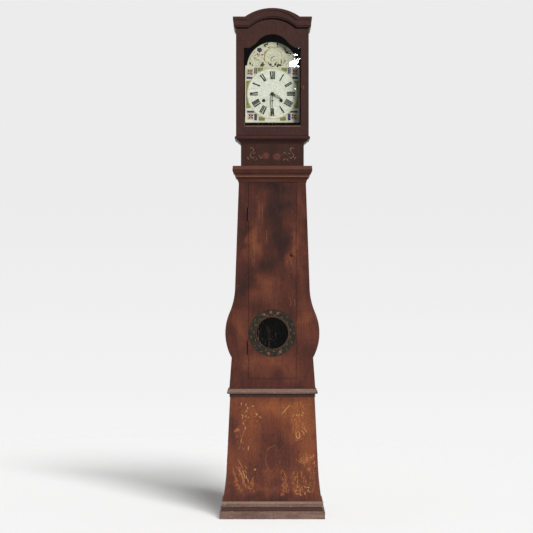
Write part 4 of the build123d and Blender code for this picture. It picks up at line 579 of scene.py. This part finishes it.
def smooth(points, steps):
    """Points along a smooth (Catmull-Rom) line through the given ones."""
    if len(points) < 3:
        (x0, z0), (x1, z1) = points
        return [(x0 + (x1 - x0) * i / 4, z0 + (z1 - z0) * i / 4) for i in range(5)]

    def between(p, q, r, s, t):
        linear = 2 * q + (r - p) * t
        square = (2 * p - 5 * q + 4 * r - s) * t * t
        return 0.5 * (linear + square + (3 * q - p - 3 * r + s) * t**3)

    ends = [points[0], *points, points[-1]]
    line = [
        tuple(between(*four, i / steps) for four in zip(a, b, c, d))
        for a, b, c, d in zip(ends, ends[1:], ends[2:], ends[3:])
        for i in range(steps)
    ]
    return [*line, points[-1]]


def piece_of(mesh, name, material):
    """An object made of a bmesh."""
    data = bpy.data.meshes.new(name)
    mesh.to_mesh(data)
    mesh.free()
    item = bpy.data.objects.new(name, data)
    item.data.materials.append(material)
    scene.collection.objects.link(item)
    return item


class Brush:
    """Collects strokes of one paint on a board's front face, and makes one piece of them.

    Each stroke is a closed ridge that is sunk into the board at its edges and proud of it in its
    middle, so that it shows at about the width given. The z values count up from the foot.
    """

    sunk = 0.12
    proud = 0.16
    stroke_hidden = 1 + sunk / proud
    blot_hidden = 1.6

    def __init__(self, name, node, material, foot=0.0):
        self.name, self.material, self.foot = name, material, foot
        self.body = "trunk_door" if node == "trunk_door" else "case"
        self.slot = slot_of[node]
        self.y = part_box(node)[0].y / MM
        self.mesh = bmesh.new()

    def corner(self, x, z, depth):
        return self.mesh.verts.new((x * MM, (self.y + depth) * MM, z * MM))

    def stroke(self, points, width, taper=0.25, steps=5):
        """A stroke of the brush, fullest in its middle."""
        line = smooth([(x, z + self.foot) for x, z in points], steps)
        last = len(line) - 1
        rows = []
        for i, (x, z) in enumerate(line):
            ax, az = line[max(0, i - 1)]
            bx, bz = line[min(last, i + 1)]
            length = math.hypot(bx - ax, bz - az) or 1.0
            nx, nz = -(bz - az) / length, (bx - ax) / length
            fullness = taper + (1 - taper) * math.sin(math.pi * i / last) ** 0.6
            wave = 1 + 0.25 * noise.noise(Vector((x * 0.4, z * 0.4, width)))
            half = width / 2 * wave * fullness * self.stroke_hidden
            nx, nz = nx * half, nz * half
            low = self.corner(x - nx, z - nz, self.sunk)
            ridge = self.corner(x, z, -self.proud)
            rows.append((low, ridge, self.corner(x + nx, z + nz, self.sunk)))
        for one, two in zip(rows, rows[1:]):
            for k in range(3):
                n = (k + 1) % 3
                self.mesh.faces.new((one[k], two[k], two[n], one[n]))
        self.mesh.faces.new(rows[0])
        self.mesh.faces.new(rows[-1][::-1])

    def dab(self, x, z, length, width, angle):
        """One leaf or petal with its foot at (x, z), pointing angle degrees from straight up."""
        middle_x, middle_z = toward(x, z, length / 2, angle)
        middle = toward(middle_x, middle_z, 0.12 * length, angle - 90)
        self.stroke([(x, z), middle, toward(x, z, length, angle)], width, 0.15, 3)

    def dabs(self, width, *rows):
        """Dabs of one width: each by its x, z, length and angle."""
        for x, z, length, angle in rows:
            self.dab(x, z, length, width, angle)

    def fan(self, x, z, count, length, width, start, end):
        """Dabs round a point, which point from the angle start to the angle end."""
        for i in range(count):
            angle = start + (end - start) * i / max(1, count - 1)
            uneven = 0.75 + 0.3 * ((i * 7) % 5) / 4
            self.dab(*toward(x, z, 0.25 * length, angle), length * uneven, width, angle)

    def blot(self, x, z, radius, sides=11, flat=1.0):
        """A filled blot of paint with an uneven edge, domed slightly."""
        z += self.foot
        middle = self.corner(x, z, -self.proud)
        under = self.corner(x, z, self.sunk)
        edge = []
        for i in range(sides):
            a = 2 * math.pi * i / sides
            place = Vector((x + 3 * math.cos(a), z + 3 * math.sin(a), 1))
            r = radius * self.blot_hidden * (1 + 0.22 * noise.noise(place))
            aside, up = r * math.cos(a), flat * r * math.sin(a)
            edge.append(self.corner(x + aside, z + up, self.sunk * 0.9))
        for a, b in zip(edge, edge[1:] + edge[:1]):
            self.mesh.faces.new((a, b, middle))
            self.mesh.faces.new((b, a, under))

    def bar(self, x0, z0, x1, z1, width):
        """A straight painted bar with square ends, such as a stroke of a numeral."""
        z0, z1 = z0 + self.foot, z1 + self.foot
        share = width / 2 / math.hypot(x1 - x0, z1 - z0)
        nx, nz = -(z1 - z0) * share, (x1 - x0) * share
        ends = ((x0, z0, -1), (x1, z1, -1), (x1, z1, 1), (x0, z0, 1))
        outline = [(x + side * nx, z + side * nz) for x, z, side in ends]
        back, face = (
            [self.corner(x, z, depth) for x, z in outline]
            for depth in (self.sunk, -self.proud * 0.7)
        )
        for k in range(4):
            n = (k + 1) % 4
            self.mesh.faces.new((back[k], back[n], face[n], face[k]))
        self.mesh.faces.new(back[::-1])
        self.mesh.faces.new(face)

    def done(self):
        bmesh.ops.recalc_face_normals(self.mesh, faces=self.mesh.faces)
        item = piece_of(self.mesh, self.name, self.material)
        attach(item, self.body)


def brushes(node, *rows):
    """Brushes for one board: each by its name and what its faded paint is made from."""
    return [Brush(name, node, faded_paint(*paint)) for name, *paint in rows]


def scatter(brush, count, low, high, lean, spread, length, width):
    """Leaf dabs spread evenly but not in rows from corner low to corner high of a patch.

    They lean about one way, within the spread to either side of it.
    """
    for k in range(count):
        x, z, turn, size = ((k * step + 0.3) % 1 for step in (0.618, 0.7549, 0.4142, 0.2774))
        brush.dab(
            low[0] + (high[0] - low[0]) * x,
            low[1] + (high[1] - low[1]) * z,
            length * (0.7 + 0.6 * size),
            width * (0.7 + 0.5 * turn),
            lean + spread * (2 * turn - 1),
        )


# Faded leaf sprays on the front board of the base.
leaves, bright, blooms, scroll = brushes(
    "base_front",
    ("base_leaves", "leaf_ochre", "#a0643a", "#7b4429", 0.6, 240.0, 1.0),
    ("base_leaves_bright", "leaf_pale", "#bd8d58", "#8f5a35", 0.5, 240.0, 2.0),
    ("base_blooms", "bloom_rust", "#9a5540", "#713c2a", 0.55, 220.0, 3.0),
    ("base_scroll", "scroll_faint", "#7d4a33", "#5c3026", 0.5, 200.0, 3.5),
)

# Left spray: dabs of leaf round an arch at its top, and ferns of long strokes at its foot.
leaves.stroke([(-134, 440), (-128, 470), (-108, 497), (-84, 492), (-62, 466)], 1.8)
leaves.stroke([(-136, 452), (-124, 408), (-142, 352), (-146, 310)], 1.8)
bright.dabs(
    4.4, (-139, 510.5, 13, 5), (-121, 507, 12, 30), (-108, 491, 12, -20), (-119, 478.5, 11, 40),
    (-130, 462, 12, -50), (-119, 455.5, 11, 10), (-112, 452, 10, 60), (-132, 450, 10, -10),
    (-92, 502, 12, 60), (-78, 472, 12, 120), (-71, 463.5, 11, 20), (-60, 459.5, 13, 130),
    (-121, 401, 12, 5), (-128, 423.5, 13, -20), (-140, 341, 18, 8), (-107, 308, 20, 4),
    (-124, 194, 24, -18), (-121, 180, 20, -12),
)
leaves.fan(-160, 388, 5, 15, 4.0, -60, 50)
bright.dab(-160, 398, 12, 4.0, 60)
leaves.stroke([(-156, 268), (-144, 246), (-132, 226)], 6.0)
leaves.stroke([(-168, 236), (-150, 216), (-132, 180), (-124, 160)], 4.4)
bright.blot(-78, 221, 4.6)
scatter(leaves, 26, (-180, 150), (-120, 250), 165, 22, 24, 3.0)
scatter(bright, 7, (-150, 180), (-110, 230), 160, 16, 20, 2.6)
scatter(leaves, 14, (-176, 112), (-80, 170), 20, 50, 16, 3.0)
scatter(leaves, 14, (-150, 430), (-66, 512), 10, 70, 12, 2.6)
scatter(leaves, 12, (-165, 300), (-126, 410), 10, 30, 14, 2.4)
leaves.dabs(
    4.4, (-96, 150, 22, 10), (-100, 130, 22, -14), (-90, 140, 22, 24), (-86, 166, 22, 0),
    (-104, 158, 22, -20),
)
blooms.fan(-92, 154, 5, 10, 4.0, -60, 60)

# Right spray: a rod and rays at the top, pale loops, blossoms, then ferns.
bright.stroke([(43, 470), (58, 488), (80, 511)], 4.6)
leaves.stroke([(38, 512), (52, 500), (60, 486)], 4.0)
leaves.stroke([(97, 484), (88, 470), (96, 452)], 3.6)
leaves.dabs(
    3.8, (102, 492, 24, -38), (108, 496, 26, -18), (116, 498, 26, -4), (126, 498, 24, 12),
    (135, 494, 24, 28), (142, 486, 20, 46),
)
for x, z in ((109, 466), (121, 469), (132, 465), (138, 476)):
    bright.blot(x, z, 3.8)
for k, (x, z) in enumerate(((92, 440), (98, 422), (94, 404), (104, 392), (110, 436), (126, 444))):
    leaves.dab(x, z - 12, 26, 4.6, -8 + 5 * (k % 4))
for k in range(5):
    leaves.dab(142 + 5 * (k % 2), 440 - 15 * k, 20, 4.2, 60 - 30 * (k % 3))
loop = [(110, 388), (106, 378), (110, 364), (118, 362), (124, 374), (120, 388), (113, 392)]
bright.stroke(loop, 4.4)
bright.stroke([(140, 404), (150, 398), (156, 386)], 4.2)
bright.stroke([(130, 396), (140, 388), (144, 374)], 3.6)
leaves.fan(120, 352, 5, 20, 4.4, -80, 70)
blooms.blot(138, 338, 4.0)
for angle in (-64, -46, -28, -10, 8, 26, 44, 62):
    leaves.dab(150, 248, 44 + (angle * 7) % 12, 4.0, angle)
bright.dabs(
    4.0, (152, 266, 14, 30), (158, 256, 14, -10), (168, 270, 14, 60), (186, 276, 14, 12),
    (190, 244, 14, 4), (134, 256, 14, -40),
)
blooms.fan(165, 222, 8, 12, 5.0, 0, 315)
bright.blot(165, 222, 3.2)
scatter(leaves, 22, (84, 392), (158, 462), 10, 55, 16, 2.8)
scatter(bright, 12, (92, 400), (150, 470), 0, 60, 12, 2.4)
scatter(leaves, 16, (96, 462), (164, 522), 10, 60, 14, 2.6)
scatter(leaves, 16, (118, 222), (194, 292), 10, 60, 20, 2.8)
scatter(leaves, 26, (88, 108), (186, 212), 0, 60, 18, 2.8)
scatter(bright, 9, (100, 110), (170, 200), 20, 80, 13, 2.4)
scatter(leaves, 12, (40, 108), (74, 216), 0, 26, 20, 2.8)
for x, top, foot in (
    (56, 206, 132), (62, 200, 110), (96, 212, 150), (112, 216, 140), (186, 226, 120),
    (50, 170, 118),
):
    leaves.stroke([(x - 3, top), (x + 2, (top + foot) / 2), (x, foot)], 2.6)
    for k in range(4):
        z = foot + (top - foot) * (k + 0.4) / 4.4
        leaves.dab(x, z, 13, 2.6, 50 if k % 2 else -50)
wreath = [
    (112, 150), (110, 130), (118, 112), (132, 104),
    (148, 106), (158, 120), (154, 138), (140, 146),
]
for k, (x, z) in enumerate(wreath):
    bright.dab(x, z, 14, 4.2, 190 + 42 * k)
leaves.dabs(
    4.2, (128, 132, 18, 30), (140, 122, 18, -20), (150, 158, 18, 10), (166, 150, 18, 30),
    (172, 176, 18, 0), (96, 124, 18, 20),
)
blooms.blot(44, 110, 4.0)
blooms.fan(44, 110, 6, 9, 4.2, 0, 300)
blooms.blot(100, 116, 3.0)

# The faint scroll between them.
scroll.stroke([(-28, 296), (-22, 312), (-6, 322), (14, 330)], 5.0)
scroll.stroke([(-28, 292), (-30, 266), (-24, 240), (-14, 216), (-2, 214), (6, 226)], 5.0)
scroll.stroke([(36, 262), (30, 256), (38, 252)], 4.0)
scroll.stroke([(-44, 196), (-26, 214), (-12, 230)], 3.6)
for brush in (leaves, bright, blooms, scroll):
    brush.done()

# Thin light strokes of the painted grain on the trunk, on the door and on its frame.
grain_light = faded_paint("grain_strokes_light", "#85573a", "#5d3528", 0.65, 180.0, 4.0)
door_grain = Brush("door_grain_strokes", "trunk_door", grain_light)
for points, width in (
    ([(-62, 1434), (-58, 1385), (-60, 1332)], 2.25),
    ([(-46, 1428), (-44, 1380), (-50, 1340)], 1.95),
    ([(-27, 1299), (-25, 1270), (-29, 1241)], 2.4),
    ([(96, 1299), (98, 1270), (95, 1241)], 2.4),
    ([(-98, 1207), (-92, 1170), (-86, 1134)], 2.25),
    ([(-84, 1213), (-80, 1180), (-84, 1150)], 1.8),
    ([(60, 1187), (66, 1160), (64, 1130)], 2.55),
    ([(80, 1180), (86, 1150), (92, 1128)], 2.25),
    ([(78, 998), (84, 975), (80, 953)], 2.55),
    ([(98, 990), (102, 970), (98, 955)], 2.25),
    ([(-104, 700), (-90, 712), (-70, 704)], 1.95),
):
    door_grain.stroke(points, width)
for k in range(7):
    door_grain.blot(38 + 10 * k, 700 - 2 * k + 3 * (k % 2), 1.9)
door_grain.done()
frame_grain = Brush("frame_grain_strokes", "trunk_frame", grain_light)
frame_grain.stroke([(-128, 704), (-119, 710), (-111, 706)], 2.6)
for k in range(3):
    frame_grain.blot(113 + 10 * k, 690 - 2 * k, 1.9)
frame_grain.blot(-157, 1047, 2.4)
frame_grain.done()

# Garland on the dark ring round the window.
ring_leaf, ring_rose = brushes(
    "trunk_door",
    ("window_garland_leaves", "garland_leaf", "#665c45", "#3a3327", 0.6, 300.0, 5.0),
    ("window_garland_roses", "garland_rose", "#8a5547", "#4a2f28", 0.5, 300.0, 6.0),
)
for k in range(30):
    angle = 12 * k + 4
    x, z = toward(0, window_z, 84 + 11 * (k % 2), angle)
    ring_leaf.dab(x, z, 11, 4.0, angle + (72 if k % 2 else 118))
    if k % 3 == 0:
        ring_leaf.blot(*toward(0, window_z, 101, angle + 6), 1.8)
for angle, radius, size in (
    (-24, 91, 6.5), (-4, 93, 6), (15, 92, 6.5), (157, 91, 6), (191, 92, 5),
):
    x, z = toward(0, window_z, radius, angle)
    ring_rose.blot(x, z, size)
    ring_rose.fan(x, z, 6, 6, 3.4, 0, 300)
ring_leaf.done()
ring_rose.done()

# Leaves and a rose on the neck.
neck_leaf, neck_rose = brushes(
    "neck_front",
    ("neck_leaves", "neck_leaf_beige", "#7f6551", "#4c322a", 0.6, 240.0, 7.0),
    ("neck_roses", "neck_rose_red", "#6b3d33", "#4a2c26", 0.6, 240.0, 8.0),
)
for side, x in ((1, -92), (-1, 88)):
    for width, line in (
        (4.0, ((-10, 1664), (0, 1670), (8, 1660), (-2, 1648))),
        (4.2, ((-2, 1648), (-8, 1634), (4, 1622), (12, 1630))),
    ):
        neck_leaf.stroke([(x + aside * side, z) for aside, z in line], width)
    neck_leaf.dab(x + 4 * side, 1642, 14, 4.2, 70 * side)
    neck_leaf.dab(x - 12 * side, 1616, 16, 4.4, -30 * side)
    neck_leaf.dab(x + 16 * side, 1612, 13, 4.0, 40 * side)
for x, z, size in ((-30, 1634, 15), (20, 1630, 16)):
    neck_rose.blot(x, z, size * 0.7, 15)
    neck_rose.fan(x, z, 9, size, size * 0.5, 0, 320)
    neck_leaf.fan(x, z + 2, 3, size * 0.5, 2.4, -70, 60)
neck_leaf.stroke([(-62, 1640), (-52, 1622), (-46, 1630)], 3.4)
neck_leaf.stroke([(44, 1640), (56, 1648), (66, 1636)], 3.4)
neck_leaf.dab(48, 1612, 14, 4.0, 60)
neck_leaf.done()
neck_rose.done()


# ---------------- dial ornament
def dial_brush(name, colour, ground="#d9dccb", fade=0.15, seed=0.0):
    """A brush whose z values count from the middle of the dial's disc."""
    paint = faded_paint(name + "_paint", colour, ground, fade, 500.0, seed)
    return Brush(name, "dial", paint, dial_z)


numerals = dial_brush("dial_numerals", "#161613", "#2a2a24", 0.1)
numeral_inner = 66.0
numeral_outer = 101.0
numeral_widest = 26.5
serif_width = 0.9
serif_inset = 0.4
minute_radius = 106.5
# Each letter's step to the next one and its bars: where a bar's outer end and its inner end
# stand, counted from the letter's left, and its width.
letters = {
    "I": (6.6, ((3.3, 3.3, 5.3),)),
    "V": (10.4, ((1.9, 5.2, 5.9), (9.0, 5.2, 1.5))),
    "X": (10.8, ((1.9, 8.5, 5.9), (8.7, 1.9, 1.5))),
}
for hour, word in enumerate(
    ("XII", "I", "II", "III", "IIII", "V", "VI", "VII", "VIII", "IX", "X", "XI")
):
    width = sum(letters[letter][0] for letter in word)
    squeeze = min(1.0, numeral_widest / width)

    def spot_at(u, v):
        """A point of this hour's numeral, u along the ring and v out from the middle."""
        x, z = toward(0, 0, v, 30 * hour)
        return toward(x, z, u * squeeze, 30 * hour + 90)

    at = -width / 2
    for letter in word:
        step, bars = letters[letter]
        for outer, inner, thick in bars:
            outer_end = spot_at(at + outer, numeral_outer)
            numerals.bar(*outer_end, *spot_at(at + inner, numeral_inner), thick)
        for v in (numeral_inner, numeral_outer):
            start = spot_at(at + serif_inset, v)
            numerals.bar(*start, *spot_at(at + step - serif_inset, v), serif_width)
        at += step
for minute in range(60):
    radius = 0.3 if minute % 5 else 0.7
    numerals.blot(*toward(0, 0, minute_radius, 6 * minute), radius, 7)
numerals.done()

blue_line = dial_brush("dial_blue_flowers", "#10142e", "#262c50", 0.15, 1.0)
red_line = dial_brush("dial_red_petals", "#74382c", "#9c7c6c", 0.25, 2.0)
green = dial_brush("dial_green_leaves", "#2c3a22", "#5c6640", 0.15, 3.0)
black = dial_brush("dial_dark_leaves", "#0e1011", "#2a2e2e", 0.1, 4.0)
brown = dial_brush("dial_brown_scroll", "#6d4a36", "#8f765c", 0.25, 5.0)
grey = dial_brush("dial_grey_lines", "#6c6a56", "#8b8873", 0.25, 5.5)
olive = dial_brush("dial_olive_curl", "#4d523c", "#7a7c60", 0.2, 3.5)
cream = dial_brush("dial_cream_lines", "#b9b9a6", "#a9a996", 0.1, 6.0)
# Crosses on the pink corners, and pale lines beside the blue fields.
for side in (-1, 1):
    for x, z in ((101.5, 97), (97, -103)):
        for turn in (40, 130, 225, 315):
            black.dab(*toward(side * x, z, 3, turn), 10, 6.0, turn + 20)
        red_line.blot(side * x, z, 2.2)
    for x, low, high, width in ((76, 91, 117, 1.2), (86, 66, 114, 2.2), (84.5, -88, -119, 2.2)):
        cream.bar(side * x, low, side * x, high, width)
# The scroll round the roundel in the arch, with a curl in it.
for points, width in (
    (((-6, 205), (-22, 197), (-34, 178), (-36, 154), (-26, 138)), 3.6),
    (((-22, 199), (-34, 186), (-42, 176), (-54, 174)), 2.4),
    (((-9, 207), (6, 209), (22, 204)), 1.8),
    (((-48, 166), (-40, 158), (-34, 146)), 2.2),
):
    brown.stroke(points, width)
for points, width in (
    (((26, 202), (38, 190), (43, 172), (38, 152), (28, 140)), 1.3),
    (((48, 170), (56, 162), (52, 150), (60, 142)), 1.2),
    (((64, 171), (76, 173), (88, 168)), 1.6),
    (((60, 168), (70, 160), (66, 150)), 1.2),
    (((-66, 158), (-58, 148), (-62, 136)), 1.2),
):
    grey.stroke(points, width)
olive.stroke([(15, 166), (4, 167), (-6, 159), (-5, 149), (2, 144)], 3.6)
olive.stroke([(4, 152), (9, 150), (15, 154)], 2.8)
# Crescent of dark leaves under the roundel, with green sprays beside it.
black.blot(-9, 132, 6.4, flat=0.8)
black.blot(13, 133, 5.8, flat=0.9)
black.dab(-14, 136, 9, 4.4, -40)
black.dab(16, 137, 8, 4.4, 30)
blue_line.stroke([(-12, 128), (2, 123), (15, 128)], 3.6)
green.dab(-42, 120, 25, 8.0, 2)
green.fan(-44, 123, 4, 13, 6.4, -64, 40)
green.fan(30, 122, 5, 12, 6.8, -80, 60)
green.stroke([(38, 130), (41, 142), (41, 154)], 4.2)
# Blue flower at the left, then leaves and buds round the arch.
blue_line.fan(-58, 197.5, 8, 10, 7.5, 0, 315)
blue_line.blot(-58, 197.5, 5.2)
cream.blot(-55.5, 197, 2.4)
green.dabs(7.5, (-38, 214, 14, 40), (-34, 221, 14, 90), (-28, 211, 14, -40), (-24, 217, 14, 20))
for x, z, radius, flat in (
    (-16, 209, 3.0, 0.7), (23.4, 221.5, 3.8, 0.75), (23, 211.5, 3.0, 0.8), (58, 198, 3.6, 1.0),
    (67.6, 186, 5.0, 0.8), (62, 189, 3.4, 0.9), (82, 180, 3.6, 0.9), (-100, 136, 3.4, 1.2),
    (-90, 128.5, 2.7, 1.2), (-66, 176, 2.7, 0.8), (-80, 156, 2.4, 0.8),
):
    black.blot(x, z, 1.3 * radius, flat=flat)
black.dabs(
    4.6, (50, 203, 12, 70), (66, 181, 12, 100), (76, 184, 11, 130), (18, 224, 11, 80),
    (-104, 143, 10, 160), (56, 190, 11, 140), (-70, 183, 9, 150),
)
red_line.dabs(
    3.2, (-84, 180, 14, 30), (-80, 170, 12, 60), (-62, 182, 12, 160), (-88, 160, 14, 80),
    (-78, 164, 12, 150), (-72, 152, 12, 100), (-52, 176, 12, 90), (-44, 180, 12, 200),
    (-102, 150, 12, 20), (-66, 164, 11, 30),
)
red_line.dabs(
    2.3, (47, 130, 14, 30), (50, 142, 14, 60), (58, 134, 14, 0), (64, 146, 14, -30),
    (52, 150, 14, 110), (62, 130, 14, 50),
)
for brush in (blue_line, red_line, green, black, brown, grey, olive, cream):
    brush.done()


# ---------------- weight lines
line_y = -49.0
line_top = 1810.0
line_tie = 1820.0
pulley_z = 656.0
pulley_radius = 22.9
gut_radius = 0.9
tube_sides = 10


def tube(name, points, body):
    """A length of gut through the points, which are x and z, as one closed mesh."""
    mesh = bmesh.new()
    points = [Vector((x, line_y, z)) for x, z in points]
    one = Vector((0, 1, 0))
    rings = []
    for i, point in enumerate(points):
        ahead = points[min(i + 1, len(points) - 1)] - points[max(i - 1, 0)]
        two = ahead.cross(one).normalized()
        angles = (2 * math.pi * k / tube_sides for k in range(tube_sides))
        ring = (point + gut_radius * (one * math.cos(a) + two * math.sin(a)) for a in angles)
        rings.append([mesh.verts.new(corner * MM) for corner in ring])
    for a, b in zip(rings, rings[1:]):
        for k in range(tube_sides):
            n = (k + 1) % tube_sides
            mesh.faces.new((a[k], a[n], b[n], b[k]))
    mesh.faces.new(rings[0][::-1])
    mesh.faces.new(rings[-1])
    bmesh.ops.recalc_face_normals(mesh, faces=mesh.faces)
    for face in mesh.faces:
        face.smooth = True
    item = piece_of(mesh, name, line_gut)
    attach(item, body)
    return item


for train, centre in (("going", barrel_x), ("strike", -barrel_x)):
    left, right = centre - pulley_radius, centre + pulley_radius
    heights = (line_top, (line_top + barrel_z) / 2, barrel_z)
    top = tube(f"{train}_line_barrel_run", [(left, z) for z in heights], "case")
    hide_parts(f"{train}_line")
    tube(f"{train}_line_tied_end", [(right, line_top), (right, line_tie)], "case")
    for side, x in (("left", left), ("right", right)):
        places = [(x, pulley_z + (line_top - pulley_z) * k / 8) for k in range(9)]
        run = tube(f"{train}_line_{side}_run", places, "case")
        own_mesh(run)
    bend = [
        (centre - pulley_radius * math.cos(a), pulley_z - pulley_radius * math.sin(a))
        for a in (math.pi * k / 16 for k in range(17))
    ]
    tube(f"{train}_line_pulley_bend", bend, f"{train}_weight")


# ---------------- backdrop and floor
world = bpy.data.worlds.new("studio")
scene.world = world
world.use_nodes = True
world.node_tree.nodes.clear()
sky = Nodes(world.node_tree)


def backdrop(colour, strength):
    return sky.node("Background", {"Color": colour, "Strength": strength}).outputs[0]


# The backdrop's grey follows the height of the line of sight: lighter towards the floor.
backdrop_spread = 3.57
backdrop_middle = 0.4266
ambient_strength = 0.27
sight = sky.node("TexCoord").outputs["Generated"]
sight_y, sight_z = sky.part(sight, 1), sky.part(sight, 2)
slope = sky.math("DIVIDE", sight_z, sky.math("MAXIMUM", sky.math("ABSOLUTE", sight_y), 0.05))
grey = sky.ramp(
    sky.blend(backdrop_middle, (slope, backdrop_spread)),
    *((0.0, "#f6f6f6"), (0.04, "#f5f5f5"), (0.17, "#f4f4f4"), (0.245, "#f2f2f2")),
    *((0.31, "#f1f1f1"), (0.375, "#efefef"), (0.44, "#eeeeee"), (0.53, "#ececec")),
)
# The camera sees the grey, mirrors and glass see it dimmed on the clock's front side, and
# everything else gets an even light.
path = sky.node("LightPath").outputs
bounced = sky.math("GREATER_THAN", path["Diffuse Depth"], 0.5)
glossy = sky.math("MAXIMUM", path["Is Glossy Ray"], path["Is Transmission Ray"])
glossy = sky.times(glossy, sky.math("SUBTRACT", 1.0, bounced))
even = backdrop((1.0, 0.99, 0.98, 1), ambient_strength)
mirrored = backdrop(grey, sky.span(sight_y, -0.3, 0.3, 0.1, 1.0, smooth=False))
lit = sky.node("MixShader", {0: glossy, 1: even, 2: mirrored}).outputs[0]
seen = sky.node("MixShader", {0: path["Is Camera Ray"], 1: lit, 2: backdrop(grey, 1.0)})
sky.node("OutputWorld", {0: seen.outputs[0]})

# The floor, in metres: its middle, half its side, and how far it reaches before it has faded
# into the backdrop.
floor_middle = (-0.6, 1.7, -0.0004)
floor_half = 4.6
floor_reach = (2.6, 4.2)


def make_floor():
    """A pale floor under the clock, which fades into the backdrop all round."""
    mesh = bmesh.new()
    bmesh.ops.create_grid(mesh, x_segments=12, y_segments=12, size=floor_half)
    shade = Shade("floor_paper")
    paper = shade.ramp(shade.noise(30.0, 3.0), (0.3, "#f0f0f0"), (0.7, "#f2f2f2"))
    shade.set(Base_Color=paper, Roughness=0.9, Specular_IOR_Level=0.0)
    scale = (1 / floor_reach[0], 1 / floor_reach[1], 0)
    reach = shade.vec("LENGTH", shade.vec("MULTIPLY", shade.place, scale))
    shade.see_through(shade.span(reach, 0.25, 1.0))
    item = piece_of(mesh, "floor", shade.material)
    item.location = floor_middle
    item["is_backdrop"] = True
    return item


ground = make_floor()


# ---------------- lamps and camera
def lamp(kind, name, place, target, energy, colour=(1, 1, 1), **props):
    data = bpy.data.lights.new(name, kind)
    data.energy = energy
    data.color = colour
    for key, value in props.items():
        setattr(data, key, value)
    item = bpy.data.objects.new(name, data)
    item.location = place
    item.rotation_euler = (Vector(target) - Vector(place)).to_track_quat("-Z", "Y").to_euler()
    scene.collection.objects.link(item)
    return item


def sun(name, turn, height, strength, spread, colour):
    """A lamp as far away as the sun. turn is to the right of the front, height above level."""
    turn, height = math.radians(turn), math.radians(height)
    flat = math.cos(height)
    place = Vector((math.sin(turn) * flat, -math.cos(turn) * flat, math.sin(height))) * 4
    return lamp("SUN", name, place, (0, 0, 0), strength, colour, angle=math.radians(spread))


def only(name, lamps, state):
    """Gives the lamps to the floor alone, or to everything but the floor."""
    group = bpy.data.collections.new(name)
    group.objects.link(ground)
    group.collection_objects[0].light_linking.link_state = state
    for item in lamps:
        item.light_linking.receiver_collection = group


key = sun("key", 45, 23, 3.0, 4, (1, 0.988, 0.97))
fill = sun("fill_from_behind", -120, 30, 1.1, 30, (1, 0.99, 0.98))
fill.visible_glossy = False
only("lit_apart_from_the_floor", (key, fill), "EXCLUDE")
# The floor has a key of its own, which throws the pale wide shadow.
only("floor_alone", (sun("floor_key", 18, 38, 3.95, 20, (1, 1, 1)),), "INCLUDE")

# Small bright lamps that the hood's glass mirrors: the middle and the size of each glare on the
# pane. The lamps stand where the glass shows them to the camera. These places are metres.
camera_place = Vector((-0.0264, -10.11, 1.1346))
pane_y = -0.112
lamp_y = -2.906
mirror = (pane_y - camera_place.y) / (2 * pane_y - lamp_y - camera_place.y)
glint_power = 130.0
for number, (x, z, width, height) in enumerate(
    (
        (95, 2047, 38, 28), (109, 2058, 22, 16), (118, 2069, 18, 5), (106, 2087, 20, 7),
        (79, 2041, 11, 12), (116, 2037, 12, 8), (117, 2112, 4, 4), (101, 2070, 7, 9),
        (101, 2032, 9, 7), (103, 1933, 8, 4.5),
    )
):
    target = (x * MM, pane_y, z * MM)
    place = camera_place + (Vector(target) - camera_place) / mirror
    place.y = lamp_y
    wide, tall = width * MM / mirror, height * MM / mirror
    size = {"shape": "ELLIPSE", "size": wide, "size_y": tall}
    lamp("AREA", f"glint_{number}", place, target, glint_power * wide * tall, **size)

camera_data = bpy.data.cameras.new("camera")
camera = bpy.data.objects.new("camera", camera_data)
camera.location = camera_place
camera.rotation_euler = (math.radians(90), 0, 0)
camera_data.sensor_width = 36.0
camera_data.lens = 150.0
scene.collection.objects.link(camera)
scene.camera = camera
scene.view_settings.view_transform = "Standard"

low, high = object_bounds()
